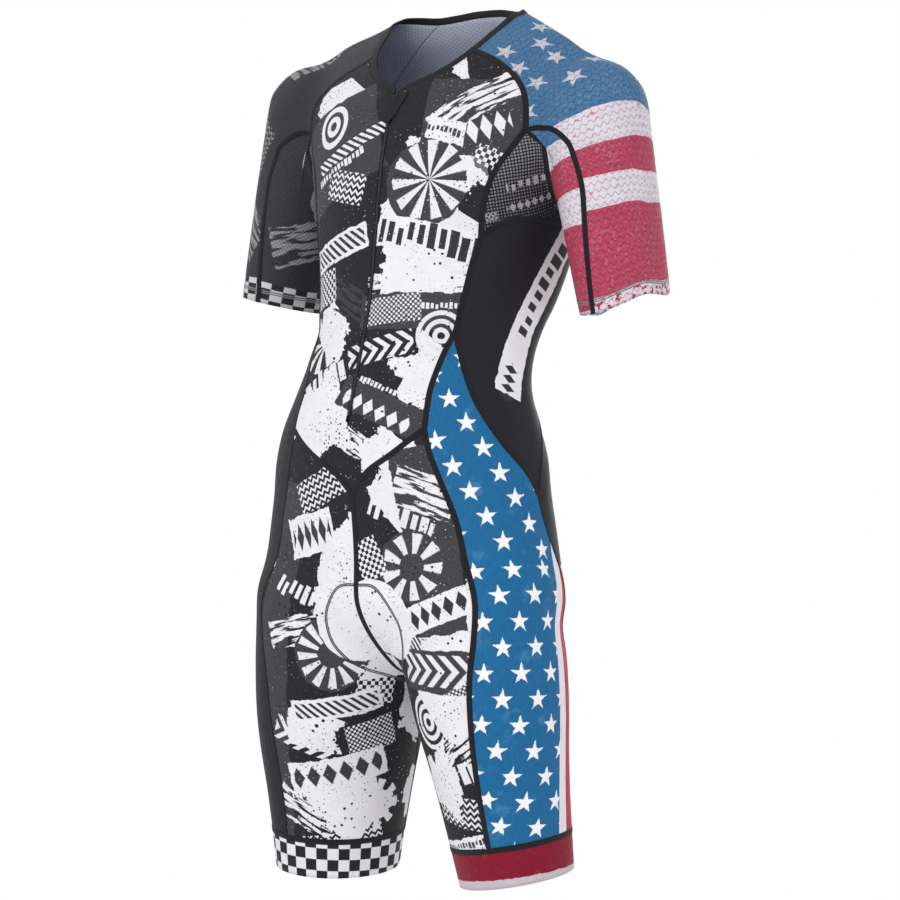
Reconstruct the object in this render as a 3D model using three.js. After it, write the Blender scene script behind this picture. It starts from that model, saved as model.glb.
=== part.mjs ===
// A one-piece short-sleeved triathlon suit, filled out with no wearer, in millimetres.
// +Z is up, the wearer faces -Y and the wearer's left side is +X.
// The origin is the middle of the neck opening, level with the neck ends of the shoulders.
// Angles called turn are in degrees: 0 faces forward, 90 faces the wearer's outer side.

import * as THREE from "three";

// Cloth sizes
const CLOTH = 1.5;
const GRIPPER_CLOTH = 1.9;
const SEAM_GAP = 0.3;
const BINDING_WIDTH = 7;
const BINDING_WALL = 2.1;

// Zip sizes
const ZIP_TOP = -97;
const ZIP_END = -451;
const ZIP_HALF_SLIT = 2.5;
const ZIP_HALF_CHAIN = 2.1;
const TAPE_HALF_WIDTH = 8;
const TAPE_WALL = 1;
const TAPE_GAP = 0.6;

// Hems, as distances down the axis of a leg or an arm. They dip towards the front.
const GRIPPER_TOP = { down: 238, dip: 2.5 };
const LEG_HEM = { down: 279, dip: 3 };
const SLEEVE_HEM = 211;

// Level sections of the trunk: middle is the section's centre in y, round is its exponent.
const TRUNK = [
  { z: -625, middle: -80, side: 178, front: 92, back: 120, round: 2.1 },
  { z: -586, middle: -80, side: 176, front: 92, back: 119, round: 2.15 },
  { z: -520, middle: -75, side: 166, front: 104, back: 104, round: 2.15 },
  { z: -484, middle: -72, side: 162, front: 113, back: 99, round: 2.1 },
  { z: -451, middle: -68, side: 152, front: 119, back: 90, round: 2.1 },
  { z: -408, middle: -60, side: 135, front: 116, back: 80, round: 2.1 },
  { z: -352, middle: -33, side: 126, front: 126, back: 79, round: 2.1 },
  { z: -314, middle: -15, side: 132, front: 134, back: 85, round: 2.15 },
  { z: -260, middle: -2, side: 142, front: 139, back: 97, round: 2.2 },
  { z: -208, middle: 4, side: 153, front: 138, back: 104, round: 2.25 },
  { z: -150, middle: 2, side: 165, front: 126, back: 106, round: 2.2 },
  { z: -100, middle: 0, side: 174, front: 107, back: 101, round: 2 },
  { z: -60, middle: 3, side: 174, front: 84, back: 92, round: 1.5 },
  { z: -36, middle: 6, side: 162, front: 70, back: 80, round: 1.24 },
  { z: -24, middle: 9, side: 142, front: 63, back: 72, round: 1.17 },
  { z: -12, middle: 13, side: 113, front: 58, back: 64, round: 1.2 },
  { z: -3, middle: 16, side: 90, front: 58, back: 56, round: 1.45 },
  { z: 14, middle: 19, side: 71, front: 60, back: 50, round: 1.9 },
  { z: 60, middle: 21, side: 58, front: 55, back: 45, round: 2 },
];
const SEAT_CAP = { z: -625, height: 78, round: 1.6 };

// The left arm and the left leg: straight axes with oval sections at distances down them.
// An oval is deep towards the turn called slant and wide across it.
const ARM = {
  top: new THREE.Vector3(186, 2, -108),
  end: new THREE.Vector3(229, -5, -312),
  cap: 58,
  slant: 0,
  sections: [
    { down: 0, wide: 57, deep: 60 },
    { down: 50, wide: 54, deep: 60 },
    { down: 110, wide: 50, deep: 60 },
    { down: 160, wide: 47, deep: 58 },
    { down: 215, wide: 45, deep: 54 },
  ],
};
const LEG = {
  top: new THREE.Vector3(91, -78, -650),
  end: new THREE.Vector3(121, -49, -928),
  cap: 80,
  slant: 45,
  sections: [
    { down: 0, wide: 87, deep: 94 },
    { down: 70, wide: 85, deep: 94 },
    { down: 110, wide: 81, deep: 92 },
    { down: 150, wide: 75, deep: 87 },
    { down: 190, wide: 70, deep: 80 },
    { down: 230, wide: 66, deep: 74 },
    { down: 285, wide: 61, deep: 67 },
  ],
};

// How softly the forms run into each other
const BLEND = { shoulder: 26, armpit: 14, hip: 30, crotch: 14 };

// The left shoulder hangs a little lower than the right one.
const SHOULDER_TILT = { perMm: 0.065, from: 90, over: 110, fadeFrom: -380, fadeOver: 120 };

// Seams on the trunk, each row a place by turn and height
const NECK_FRONT = [
  { turn: 1.4, z: -97 },
  { turn: 4, z: -90 },
  { turn: 12, z: -84 },
  { turn: 24, z: -75 },
  { turn: 37, z: -62 },
  { turn: 50, z: -46 },
];
const NECK_SIDE = [
  { turn: 59, z: -34 },
  { turn: 67, z: -23 },
  { turn: 76, z: -11 },
  { turn: 88, z: -2 },
];
const NECK_BACK_SIDE = [
  { turn: 104, z: -1 },
  { turn: 121, z: -2 },
];
const NECK_BACK = [
  { turn: 141, z: 1 },
  { turn: 160, z: 4 },
  { turn: 180, z: 5 },
];
const RAGLAN_FRONT = [
  { turn: 58, z: -55 },
  { turn: 63, z: -66 },
  { turn: 66, z: -84 },
  { turn: 66, z: -105 },
  { turn: 65, z: -131 },
];
const RAGLAN_BACK = [
  { turn: 117, z: -15 },
  { turn: 116, z: -30 },
  { turn: 115, z: -50 },
  { turn: 113, z: -80 },
  { turn: 111.5, z: -105 },
  { turn: 111, z: -131 },
];
const GUSSET_FRONT = [
  { turn: 65, z: -131 },
  { turn: 60, z: -149 },
  { turn: 52, z: -179 },
  { turn: 48, z: -211 },
  { turn: 48, z: -248 },
];
const SIDE_FRONT = [
  { turn: 46, z: -272 },
  { turn: 45, z: -300 },
  { turn: 45, z: -326 },
  { turn: 46, z: -349 },
];
const HIP_FRONT = [
  { turn: 44, z: -368 },
  { turn: 43, z: -390 },
  { turn: 42, z: -410 },
  { turn: 41.5, z: -432 },
  { turn: 41, z: -451 },
];
const THIGH_TOP_FRONT = [
  { turn: 44, z: -475 },
  { turn: 48, z: -497 },
  { turn: 54, z: -528 },
  { turn: 58, z: -552 },
  { turn: 61, z: -582 },
];
const VEE = [
  { turn: 41, z: -451 },
  { turn: 26, z: -477 },
  { turn: 11, z: -497 },
  { turn: 0, z: -520 },
];
const PANEL_BACK = [
  { turn: 46, z: -349 },
  { turn: 50, z: -365 },
  { turn: 56, z: -388 },
  { turn: 63, z: -420 },
  { turn: 69, z: -447 },
  { turn: 76, z: -472 },
  { turn: 85, z: -498 },
  { turn: 91, z: -522 },
];
const THIGH_TOP_BACK = [
  { turn: 94, z: -551 },
  { turn: 99, z: -580 },
];
const GUSSET_BOTTOM = [
  { turn: 48, z: -248 },
  { turn: 55, z: -233 },
  { turn: 64, z: -226 },
  { turn: 78, z: -226 },
  { turn: 95, z: -231 },
  { turn: 112, z: -239 },
  { turn: 128, z: -252 },
];
const GUSSET_BACK = [
  { turn: 111, z: -131 },
  { turn: 115, z: -155 },
  { turn: 120, z: -185 },
  { turn: 125, z: -217 },
  { turn: 128, z: -252 },
];
const SIDE_BACK = [
  { turn: 129, z: -290 },
  { turn: 127, z: -345 },
  { turn: 118, z: -400 },
];
const SEAT_SIDE = [
  { turn: 106, z: -436 },
  { turn: 98, z: -466 },
  { turn: 93, z: -495 },
  { turn: 91, z: -522 },
];
const SEAT_TOP = [
  { turn: 180, z: -428 },
  { turn: 150, z: -418 },
  { turn: 118, z: -400 },
];
const CENTRE_FRONT_LOWER = [
  { turn: 0, z: ZIP_END },
  { turn: 0, z: -484 },
  { turn: 0, z: -520 },
];
const CENTRE_BACK = [
  { turn: 180, z: 5 },
  { turn: 180, z: -50 },
  { turn: 180, z: -130 },
  { turn: 180, z: -208 },
  { turn: 180, z: -300 },
  { turn: 180, z: -360 },
  { turn: 180, z: -428 },
];

// The crotch seam, in the plane between the legs
const CROTCH_FRONT = [
  { y: -170, z: -560 },
  { y: -171, z: -600 },
  { y: -169, z: -632 },
  { y: -158, z: -660 },
  { y: -136, z: -681 },
  { y: -104, z: -703 },
  { y: -74, z: -715 },
];
const CROTCH_BACK = [
  { y: 32, z: -500 },
  { y: 38, z: -570 },
  { y: 38, z: -630 },
  { y: 26, z: -660 },
  { y: 2, z: -685 },
  { y: -35, z: -702 },
  { y: -74, z: -715 },
];

// Seams on the left leg and the left arm, by turn and distance down the axis
const THIGH_FRONT = [
  { turn: 36, down: -22 },
  { turn: 32, down: 16 },
  { turn: 25, down: 60 },
  { turn: 22, down: 93 },
  { turn: 19, down: 138 },
  { turn: 17, down: 180 },
  { turn: 16, down: 214 },
];
const THIGH_BACK = [
  { turn: 118, down: -30 },
  { turn: 123, down: 20 },
  { turn: 128, down: 70 },
  { turn: 132, down: 125 },
  { turn: 134, down: 180 },
];
const INSEAM = [
  { turn: -102, down: 78 },
  { turn: -111, down: 115 },
  { turn: -119, down: 160 },
  { turn: -123, down: 200 },
];
const SLEEVE_FRONT = [
  { turn: -27, down: 16 },
  { turn: -13, down: 24 },
  { turn: 0, down: 39 },
  { turn: 6, down: 66 },
  { turn: 8, down: 89 },
  { turn: 5, down: 124 },
  { turn: 1, down: 163 },
  { turn: -4, down: SLEEVE_HEM },
];
const SLEEVE_BACK = [
  { turn: 207, down: 16 },
  { turn: 193, down: 24 },
  { turn: 181, down: 39 },
  { turn: 175, down: 66 },
  { turn: 173, down: 89 },
  { turn: 176, down: 124 },
  { turn: 180, down: 163 },
  { turn: 184, down: SLEEVE_HEM },
];

// The chain starts one step below the top of the zip, under the slider.
const ZIP_STEPS = 25;
const CHAIN_TOP = ZIP_TOP + (ZIP_END - ZIP_TOP) / ZIP_STEPS;
const SLIDER_LENGTH = 9.5;
const TAB_LENGTH = 8;

// The armhole below the arm lies in the crease between the arm and the trunk.
const ARMHOLE = [
  { y: -60, z: -148 },
  { y: -48, z: -178 },
  { y: -22, z: -203 },
  { y: 6, z: -206 },
  { y: 34, z: -184 },
  { y: 50, z: -156 },
];
const ARMHOLE_X = 158;

// The line over the shoulder on which a sleeve's front and back halves are drawn
const SHOULDER_RIDGE = [
  { x: 114, y: 3, z: -10 },
  { x: 138, y: 3, z: -20 },
  { x: 165, y: 2, z: -34 },
  { x: 194, y: 1, z: -50 },
  { x: 222, y: 1, z: -70 },
];
const RIDGE_ON_ARM = [
  { turn: 90, down: 20 },
  { turn: 90, down: 60 },
  { turn: 90, down: 115 },
  { turn: 90, down: 165 },
  { turn: 90, down: SLEEVE_HEM },
];

// Steps along the seams, shared by the panels on both sides of each
const STEPS = {
  neckFront: 8,
  neckSide: 5,
  neckBackSide: 5,
  neckBack: 8,
  raglan: 6,
  gussetSide: 7,
  gussetBottom: 10,
  sideFront: 11,
  hipFront: 6,
  thighFront: 19,
  panelBack: 10,
  thighBack: 15,
  sideBack: 7,
  seatSide: 4,
  vee: 8,
  zip: ZIP_STEPS,
  centreFrontLower: 5,
  centreBack: 20,
  crotch: 11,
  inseam: 8,
  sleeve: 11,
  hemHalf: 5,
  thighSideHem: 7,
  gripper: 2,
};

// The steps nearest the armpit are short, because the cloth turns sharply there.
const SLEEVE_SPACING = [0, 0.05, 0.11, 0.17, 0.24, 0.28, 0.36, 0.47, 0.6, 0.73, 0.87, 1];
const SLEEVE_BEND = 4;
const GUSSET_SPACING = [0, 0.05, 0.13, 0.26, 0.42, 0.6, 0.8, 1];

const COLOURS = {
  charcoal: 0x36343b,
  ink: 0x17161a,
  white: 0xe9e9ec,
  blue: 0x2f6f9f,
  red: 0xbf3f55,
  metal: 0x55565a,
};

const LEAN = 1e-6;
const HALF_STEP = 0.5;

const vector = (x, y, z) => new THREE.Vector3(x, y, z);
const radians = THREE.MathUtils.degToRad;

function smoothStep(value) {
  const t = Math.min(1, Math.max(0, value));
  return t * t * (3 - 2 * t);
}

// Smooth reading of one column of a table whose rows rise in the column called at
function column(rows, at, name) {
  const places = rows.map((row) => row[at]);
  const values = rows.map((row) => row[name]);
  const gaps = places.slice(1).map((place, i) => place - places[i]);
  const slopes = gaps.map((gap, i) => (values[i + 1] - values[i]) / gap);
  const tangents = values.map((_, i) => {
    if (i === 0) return slopes[0];
    if (i === values.length - 1) return slopes[i - 1];
    return (slopes[i - 1] * gaps[i] + slopes[i] * gaps[i - 1]) / (gaps[i] + gaps[i - 1]);
  });
  const last = places.length - 1;
  return (where) => {
    const place = Math.min(places[last], Math.max(places[0], where));
    let i = 0;
    while (i < last - 1 && place >= places[i + 1]) i += 1;
    const t = (place - places[i]) / gaps[i];
    const t2 = t * t;
    const t3 = t2 * t;
    return (2 * t3 - 3 * t2 + 1) * values[i]
      + (t3 - 2 * t2 + t) * gaps[i] * tangents[i]
      + (3 * t2 - 2 * t3) * values[i + 1]
      + (t3 - t2) * gaps[i] * tangents[i + 1];
  };
}

const trunk = {
  middle: column(TRUNK, "z", "middle"),
  side: column(TRUNK, "z", "side"),
  front: column(TRUNK, "z", "front"),
  back: column(TRUNK, "z", "back"),
  round: column(TRUNK, "z", "round"),
};

// A limb's frame: its axis, the direction outward from the body and the direction forward
function limbFrame(limb) {
  const axis = limb.end.clone().sub(limb.top).normalize();
  const outward = vector(1, 0, 0).addScaledVector(axis, -axis.x).normalize();
  const forward = new THREE.Vector3().crossVectors(outward, axis);
  if (forward.y > 0) forward.negate();
  return {
    ...limb,
    axis,
    outward,
    forward,
    wide: column(limb.sections, "down", "wide"),
    deep: column(limb.sections, "down", "deep"),
    slantSine: Math.sin(radians(limb.slant)),
    slantCosine: Math.cos(radians(limb.slant)),
  };
}

const arm = limbFrame(ARM);
const leg = limbFrame(LEG);

function trunkDistance(p) {
  const dy = p.y - trunk.middle(p.z);
  const half = dy < 0 ? trunk.front(p.z) : trunk.back(p.z);
  const round = trunk.round(p.z);
  const reach = (Math.abs(p.x / trunk.side(p.z)) ** round + Math.abs(dy / half) ** round + LEAN) ** (1 / round);
  const below = Math.max(0, SEAT_CAP.z - p.z);
  const drop = below / SEAT_CAP.height;
  const full = drop > 0
    ? (reach ** SEAT_CAP.round + drop ** SEAT_CAP.round) ** (1 / SEAT_CAP.round)
    : reach;
  return Math.hypot(p.x, dy, below) * (1 - 1 / Math.max(full, 0.001));
}

function limbDistance(p, limb, mirror) {
  const q = vector(p.x * mirror, p.y, p.z).sub(limb.top);
  const down = q.dot(limb.axis);
  const u = q.dot(limb.outward);
  const v = q.dot(limb.forward);
  const above = Math.min(0, down);
  const across = u * limb.slantCosine - v * limb.slantSine;
  const along = u * limb.slantSine + v * limb.slantCosine;
  const reach = Math.hypot(across / limb.wide(down), along / limb.deep(down), above / limb.cap);
  return Math.hypot(u, v, above) * (1 - 1 / Math.max(reach, 0.001));
}

function blend(a, b, softness) {
  const h = Math.max(softness - Math.abs(a - b), 0) / softness;
  return Math.min(a, b) - h * h * softness * 0.25;
}

function armDistance(p) {
  return Math.min(limbDistance(p, arm, 1), limbDistance(p, arm, -1));
}

// Distance from the filled form of the suit, below zero inside it
function formDistance(p) {
  const legs = blend(limbDistance(p, leg, 1), limbDistance(p, leg, -1), BLEND.crotch);
  const lower = blend(trunkDistance(p), legs, BLEND.hip);
  const softness = BLEND.armpit + (BLEND.shoulder - BLEND.armpit) * smoothStep((p.z + 200) / 70);
  return blend(lower, armDistance(p), softness);
}

function gradient(p, distance) {
  const steps = [vector(HALF_STEP, 0, 0), vector(0, HALF_STEP, 0), vector(0, 0, HALF_STEP)];
  const slopes = steps.map((step) => distance(p.clone().add(step)) - distance(p.clone().sub(step)));
  return vector(...slopes).divideScalar(2 * HALF_STEP);
}

// Moves a point along the slope of a distance until it lies where that distance is zero
function settle(point, distance = formDistance, rounds = 8) {
  const p = point.clone();
  for (let i = 0; i < rounds; i += 1) {
    const slope = gradient(p, distance);
    const step = slope.multiplyScalar(distance(p) / Math.max(slope.lengthSq(), LEAN));
    p.sub(step.clampLength(0, 25));
  }
  return p;
}

// Settles a point into the crease where an arm meets the trunk
function settleInCrease(point) {
  let p = point;
  for (let i = 0; i < 8; i += 1) {
    p = settle(p, (q) => trunkDistance(q) - armDistance(q), 2);
    p = settle(p, formDistance, 2);
  }
  return p;
}

function normalAt(point) {
  return gradient(point, formDistance).normalize();
}

function onTrunk({ turn, z }) {
  const sine = Math.sin(radians(turn));
  const cosine = Math.cos(radians(turn));
  const half = cosine > 0 ? trunk.front(z) : trunk.back(z);
  const round = trunk.round(z);
  const reach = (Math.abs(sine / trunk.side(z)) ** round + Math.abs(cosine / half) ** round) ** (-1 / round);
  return settle(vector(sine * reach, trunk.middle(z) - cosine * reach, z));
}

function onLimb(limb, { turn, down }) {
  const sine = Math.sin(radians(turn));
  const cosine = Math.cos(radians(turn));
  const across = sine * limb.slantCosine - cosine * limb.slantSine;
  const along = sine * limb.slantSine + cosine * limb.slantCosine;
  const reach = 1 / Math.hypot(across / limb.wide(down), along / limb.deep(down));
  const p = limb.top.clone()
    .addScaledVector(limb.axis, down)
    .addScaledVector(limb.outward, sine * reach)
    .addScaledVector(limb.forward, cosine * reach);
  return settle(p);
}

const onLeg = (row) => onLimb(leg, row);
const onArm = (row) => onLimb(arm, row);
const inMiddle = (row) => settle(vector(0, row.y, row.z));

// A smooth line through guide points, cut at some of them into stretches of even steps
function seam(guides, stretches) {
  const fineness = 30;
  const curve = new THREE.CatmullRomCurve3(guides, false, "centripetal");
  const fine = curve.getPoints((guides.length - 1) * fineness);
  let from = 0;
  return stretches.map(({ to = guides.length - 1, steps, spacing }) => {
    const part = fine.slice(from * fineness, to * fineness + 1);
    from = to;
    const lengths = [0];
    part.slice(1).forEach((p, i) => lengths.push(lengths[i] + p.distanceTo(part[i])));
    const total = lengths[lengths.length - 1];
    const points = [];
    for (let i = 0; i <= steps; i += 1) {
      const want = total * (spacing ? spacing[i] : i / steps);
      let k = 0;
      while (k < lengths.length - 2 && lengths[k + 1] < want) k += 1;
      const t = (want - lengths[k]) / (lengths[k + 1] - lengths[k]);
      points.push(part[k].clone().lerp(part[k + 1], t));
    }
    return points;
  });
}

const settled = (points) => points.map((p) => settle(p));
const joined = (...lines) => lines.reduce((all, line) => all.concat(all.length ? line.slice(1) : line), []);
const reversed = (line) => line.slice().reverse();

function fractions(line) {
  const lengths = [0];
  line.slice(1).forEach((p, i) => lengths.push(lengths[i] + p.distanceTo(line[i])));
  const total = lengths[lengths.length - 1];
  return lengths.map((length, i) => (total > 0 ? length / total : i / (line.length - 1)));
}

// Ways to read a place as flat coordinates: plain space, round the trunk and round the arm
const inSpace = {
  read: (p) => p,
  place: (q) => settle(q),
};
const roundTrunk = {
  read: (p) => vector(THREE.MathUtils.radToDeg(Math.atan2(p.x, trunk.middle(p.z) - p.y)), p.z, 0),
  place: (q) => onTrunk({ turn: q.x, z: q.y }),
};
const roundArm = {
  read: (p) => {
    const q = p.clone().sub(arm.top);
    const turn = THREE.MathUtils.radToDeg(Math.atan2(q.dot(arm.outward), q.dot(arm.forward)));
    return vector(turn > 90 ? turn - 360 : turn, q.dot(arm.axis), 0);
  },
  place: (q) => onArm({ turn: q.x, down: q.y }),
};

// A grid of points between four edges. Left and right run down, top and bottom run across.
function patch({ top, right, bottom, left }, way = inSpace) {
  const across = fractions(top).map((f, i) => (f + fractions(bottom)[i]) / 2);
  const down = fractions(left).map((f, j) => (f + fractions(right)[j]) / 2);
  const lastAcross = top.length - 1;
  const lastDown = left.length - 1;
  const [t, r, b, l] = [top, right, bottom, left].map((edge) => edge.map(way.read));
  return left.map((leftPoint, j) => top.map((topPoint, i) => {
    if (j === 0) return topPoint;
    if (j === lastDown) return bottom[i];
    if (i === 0) return leftPoint;
    if (i === lastAcross) return right[j];
    const u = across[i];
    const v = down[j];
    const q = t[i].clone().multiplyScalar(1 - v)
      .addScaledVector(b[i], v)
      .addScaledVector(l[j], 1 - u)
      .addScaledVector(r[j], u)
      .addScaledVector(t[0], -(1 - u) * (1 - v))
      .addScaledVector(t[lastAcross], -u * (1 - v))
      .addScaledVector(b[0], -(1 - u) * v)
      .addScaledVector(b[lastAcross], -u * v);
    return way.place(q);
  }));
}

const mirrored = (grid) => grid.map((row) => row.map((p) => vector(-p.x, p.y, p.z)));

// Lets the left shoulder hang lower than the right one
function stance(p) {
  const beyond = Math.min(SHOULDER_TILT.over, Math.max(0, Math.abs(p.x) - SHOULDER_TILT.from));
  const fade = smoothStep((p.z - SHOULDER_TILT.fadeFrom) / SHOULDER_TILT.fadeOver);
  return vector(p.x, p.y, p.z - SHOULDER_TILT.perMm * beyond * Math.sign(p.x) * fade);
}

// Joins grids into one sheet of shared points and outward-facing triangles
function weld(grids) {
  const points = [];
  const normals = [];
  const seen = new Map();
  const triangles = [];
  const indexOf = (p) => {
    const key = [p.x, p.y, p.z].map((value) => Math.round(value * 1000)).join();
    if (!seen.has(key)) {
      seen.set(key, points.length);
      points.push(p);
      normals.push(normalAt(p));
    }
    return seen.get(key);
  };
  grids.forEach((grid) => {
    const indices = grid.map((row) => row.map(indexOf));
    const facing = gridFacing(grid);
    for (let j = 0; j < grid.length - 1; j += 1) {
      for (let i = 0; i < grid[j].length - 1; i += 1) {
        const [a, b, c, d] = [indices[j][i], indices[j][i + 1], indices[j + 1][i + 1], indices[j + 1][i]];
        [[a, b, c], [a, c, d]].forEach((triangle) => {
          if (new Set(triangle).size < 3) return;
          triangles.push(facing > 0 ? triangle : triangle.reverse());
        });
      }
    }
  });
  return { points, normals, triangles };
}

// Above zero where a grid's rows and columns turn the same way as the form faces
function gridFacing(grid) {
  let sum = 0;
  for (let j = 0; j < grid.length - 1; j += 1) {
    for (let i = 0; i < grid[j].length - 1; i += 1) {
      const a = grid[j][i];
      const along = grid[j + 1][i + 1].clone().sub(a);
      const across = grid[j][i + 1].clone().sub(grid[j + 1][i]);
      sum += across.cross(along).dot(normalAt(a));
    }
  }
  return sum;
}

// The edges that only one triangle has, from each point to the next with the sheet on the left
function rim(triangles) {
  const count = new Map();
  const key = (a, b) => `${Math.min(a, b)},${Math.max(a, b)}`;
  const edges = triangles.flatMap(([a, b, c]) => [[a, b], [b, c], [c, a]]);
  edges.forEach(([a, b]) => count.set(key(a, b), (count.get(key(a, b)) || 0) + 1));
  return edges.filter(([a, b]) => count.get(key(a, b)) === 1);
}

// Moves the rim of a sheet inwards along the cloth, so that neighbours stay apart
function drawIn(sheet, edges, distance) {
  const moves = new Map();
  edges.forEach(([a, b]) => {
    const along = sheet.points[b].clone().sub(sheet.points[a]);
    [a, b].forEach((index) => {
      const inward = sheet.normals[index].clone().cross(along).normalize();
      moves.set(index, (moves.get(index) || []).concat([inward]));
    });
  });
  moves.forEach((inwards, index) => {
    const sum = inwards.reduce((total, inward) => total.add(inward), vector(0, 0, 0));
    const size = Math.max(sum.lengthSq() / inwards.length, 0.02);
    sheet.points[index] = sheet.points[index].clone().addScaledVector(sum, distance / size);
  });
}

// A closed wall of cloth under a sheet of the form, raised from it by so much at each point
function wall(name, grids, colour, { thickness = CLOTH, inset = SEAM_GAP / 2, raise = () => 0 } = {}) {
  const sheet = weld(grids);
  const edges = rim(sheet.triangles);
  const leads = sheet.points.map((p) => p.z + 0.01 * p.y);
  drawIn(sheet, edges, inset);
  const count = sheet.points.length;
  const lifted = (depth) => sheet.points.map((p, i) => (
    p.clone().addScaledVector(sheet.normals[i], raise(p) - depth)));
  const points = lifted(0).concat(lifted(thickness));
  const triangles = sheet.triangles.slice();
  sheet.triangles.forEach(([a, b, c]) => triangles.push([c + count, b + count, a + count]));
  edges.forEach(([a, b]) => {
    if (leads[a] < leads[b]) triangles.push([b, a, a + count], [b, a + count, b + count]);
    else triangles.push([b, a, b + count], [a, a + count, b + count]);
  });
  return solid(name, points, triangles, colour);
}

function solid(name, points, triangles, colour) {
  const geometry = new THREE.BufferGeometry();
  const placed = points.map(stance);
  geometry.setAttribute("position", new THREE.Float32BufferAttribute(placed.flatMap((p) => p.toArray()), 3));
  geometry.setIndex(triangles.flat());
  geometry.computeVertexNormals();
  const material = new THREE.MeshStandardMaterial({ color: colour, roughness: 0.75, metalness: 0 });
  const mesh = new THREE.Mesh(geometry, material);
  mesh.name = name;
  return mesh;
}

// A bar with the same cross-section at each station, closed at both ends
function bar(name, stations, colour) {
  const size = stations[0].length;
  const points = stations.flat();
  const triangles = [];
  for (let j = 0; j < stations.length - 1; j += 1) {
    for (let i = 0; i < size; i += 1) {
      const a = j * size + i;
      const b = j * size + ((i + 1) % size);
      triangles.push([a, b, b + size], [a, b + size, a + size]);
    }
  }
  // Each end is a fan from the section's first point, from which all the others can be seen.
  const end = points.length - size;
  for (let i = 1; i < size - 1; i += 1) {
    triangles.push([0, i + 1, i], [end, end + i, end + i + 1]);
  }
  return solid(name, points, outwardTriangles(points, triangles), colour);
}

function outwardTriangles(points, triangles) {
  const volume = triangles.reduce((sum, [a, b, c]) => (
    sum + points[a].dot(points[b].clone().cross(points[c]))), 0);
  return volume > 0 ? triangles : triangles.map(([a, b, c]) => [c, b, a]);
}

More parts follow.
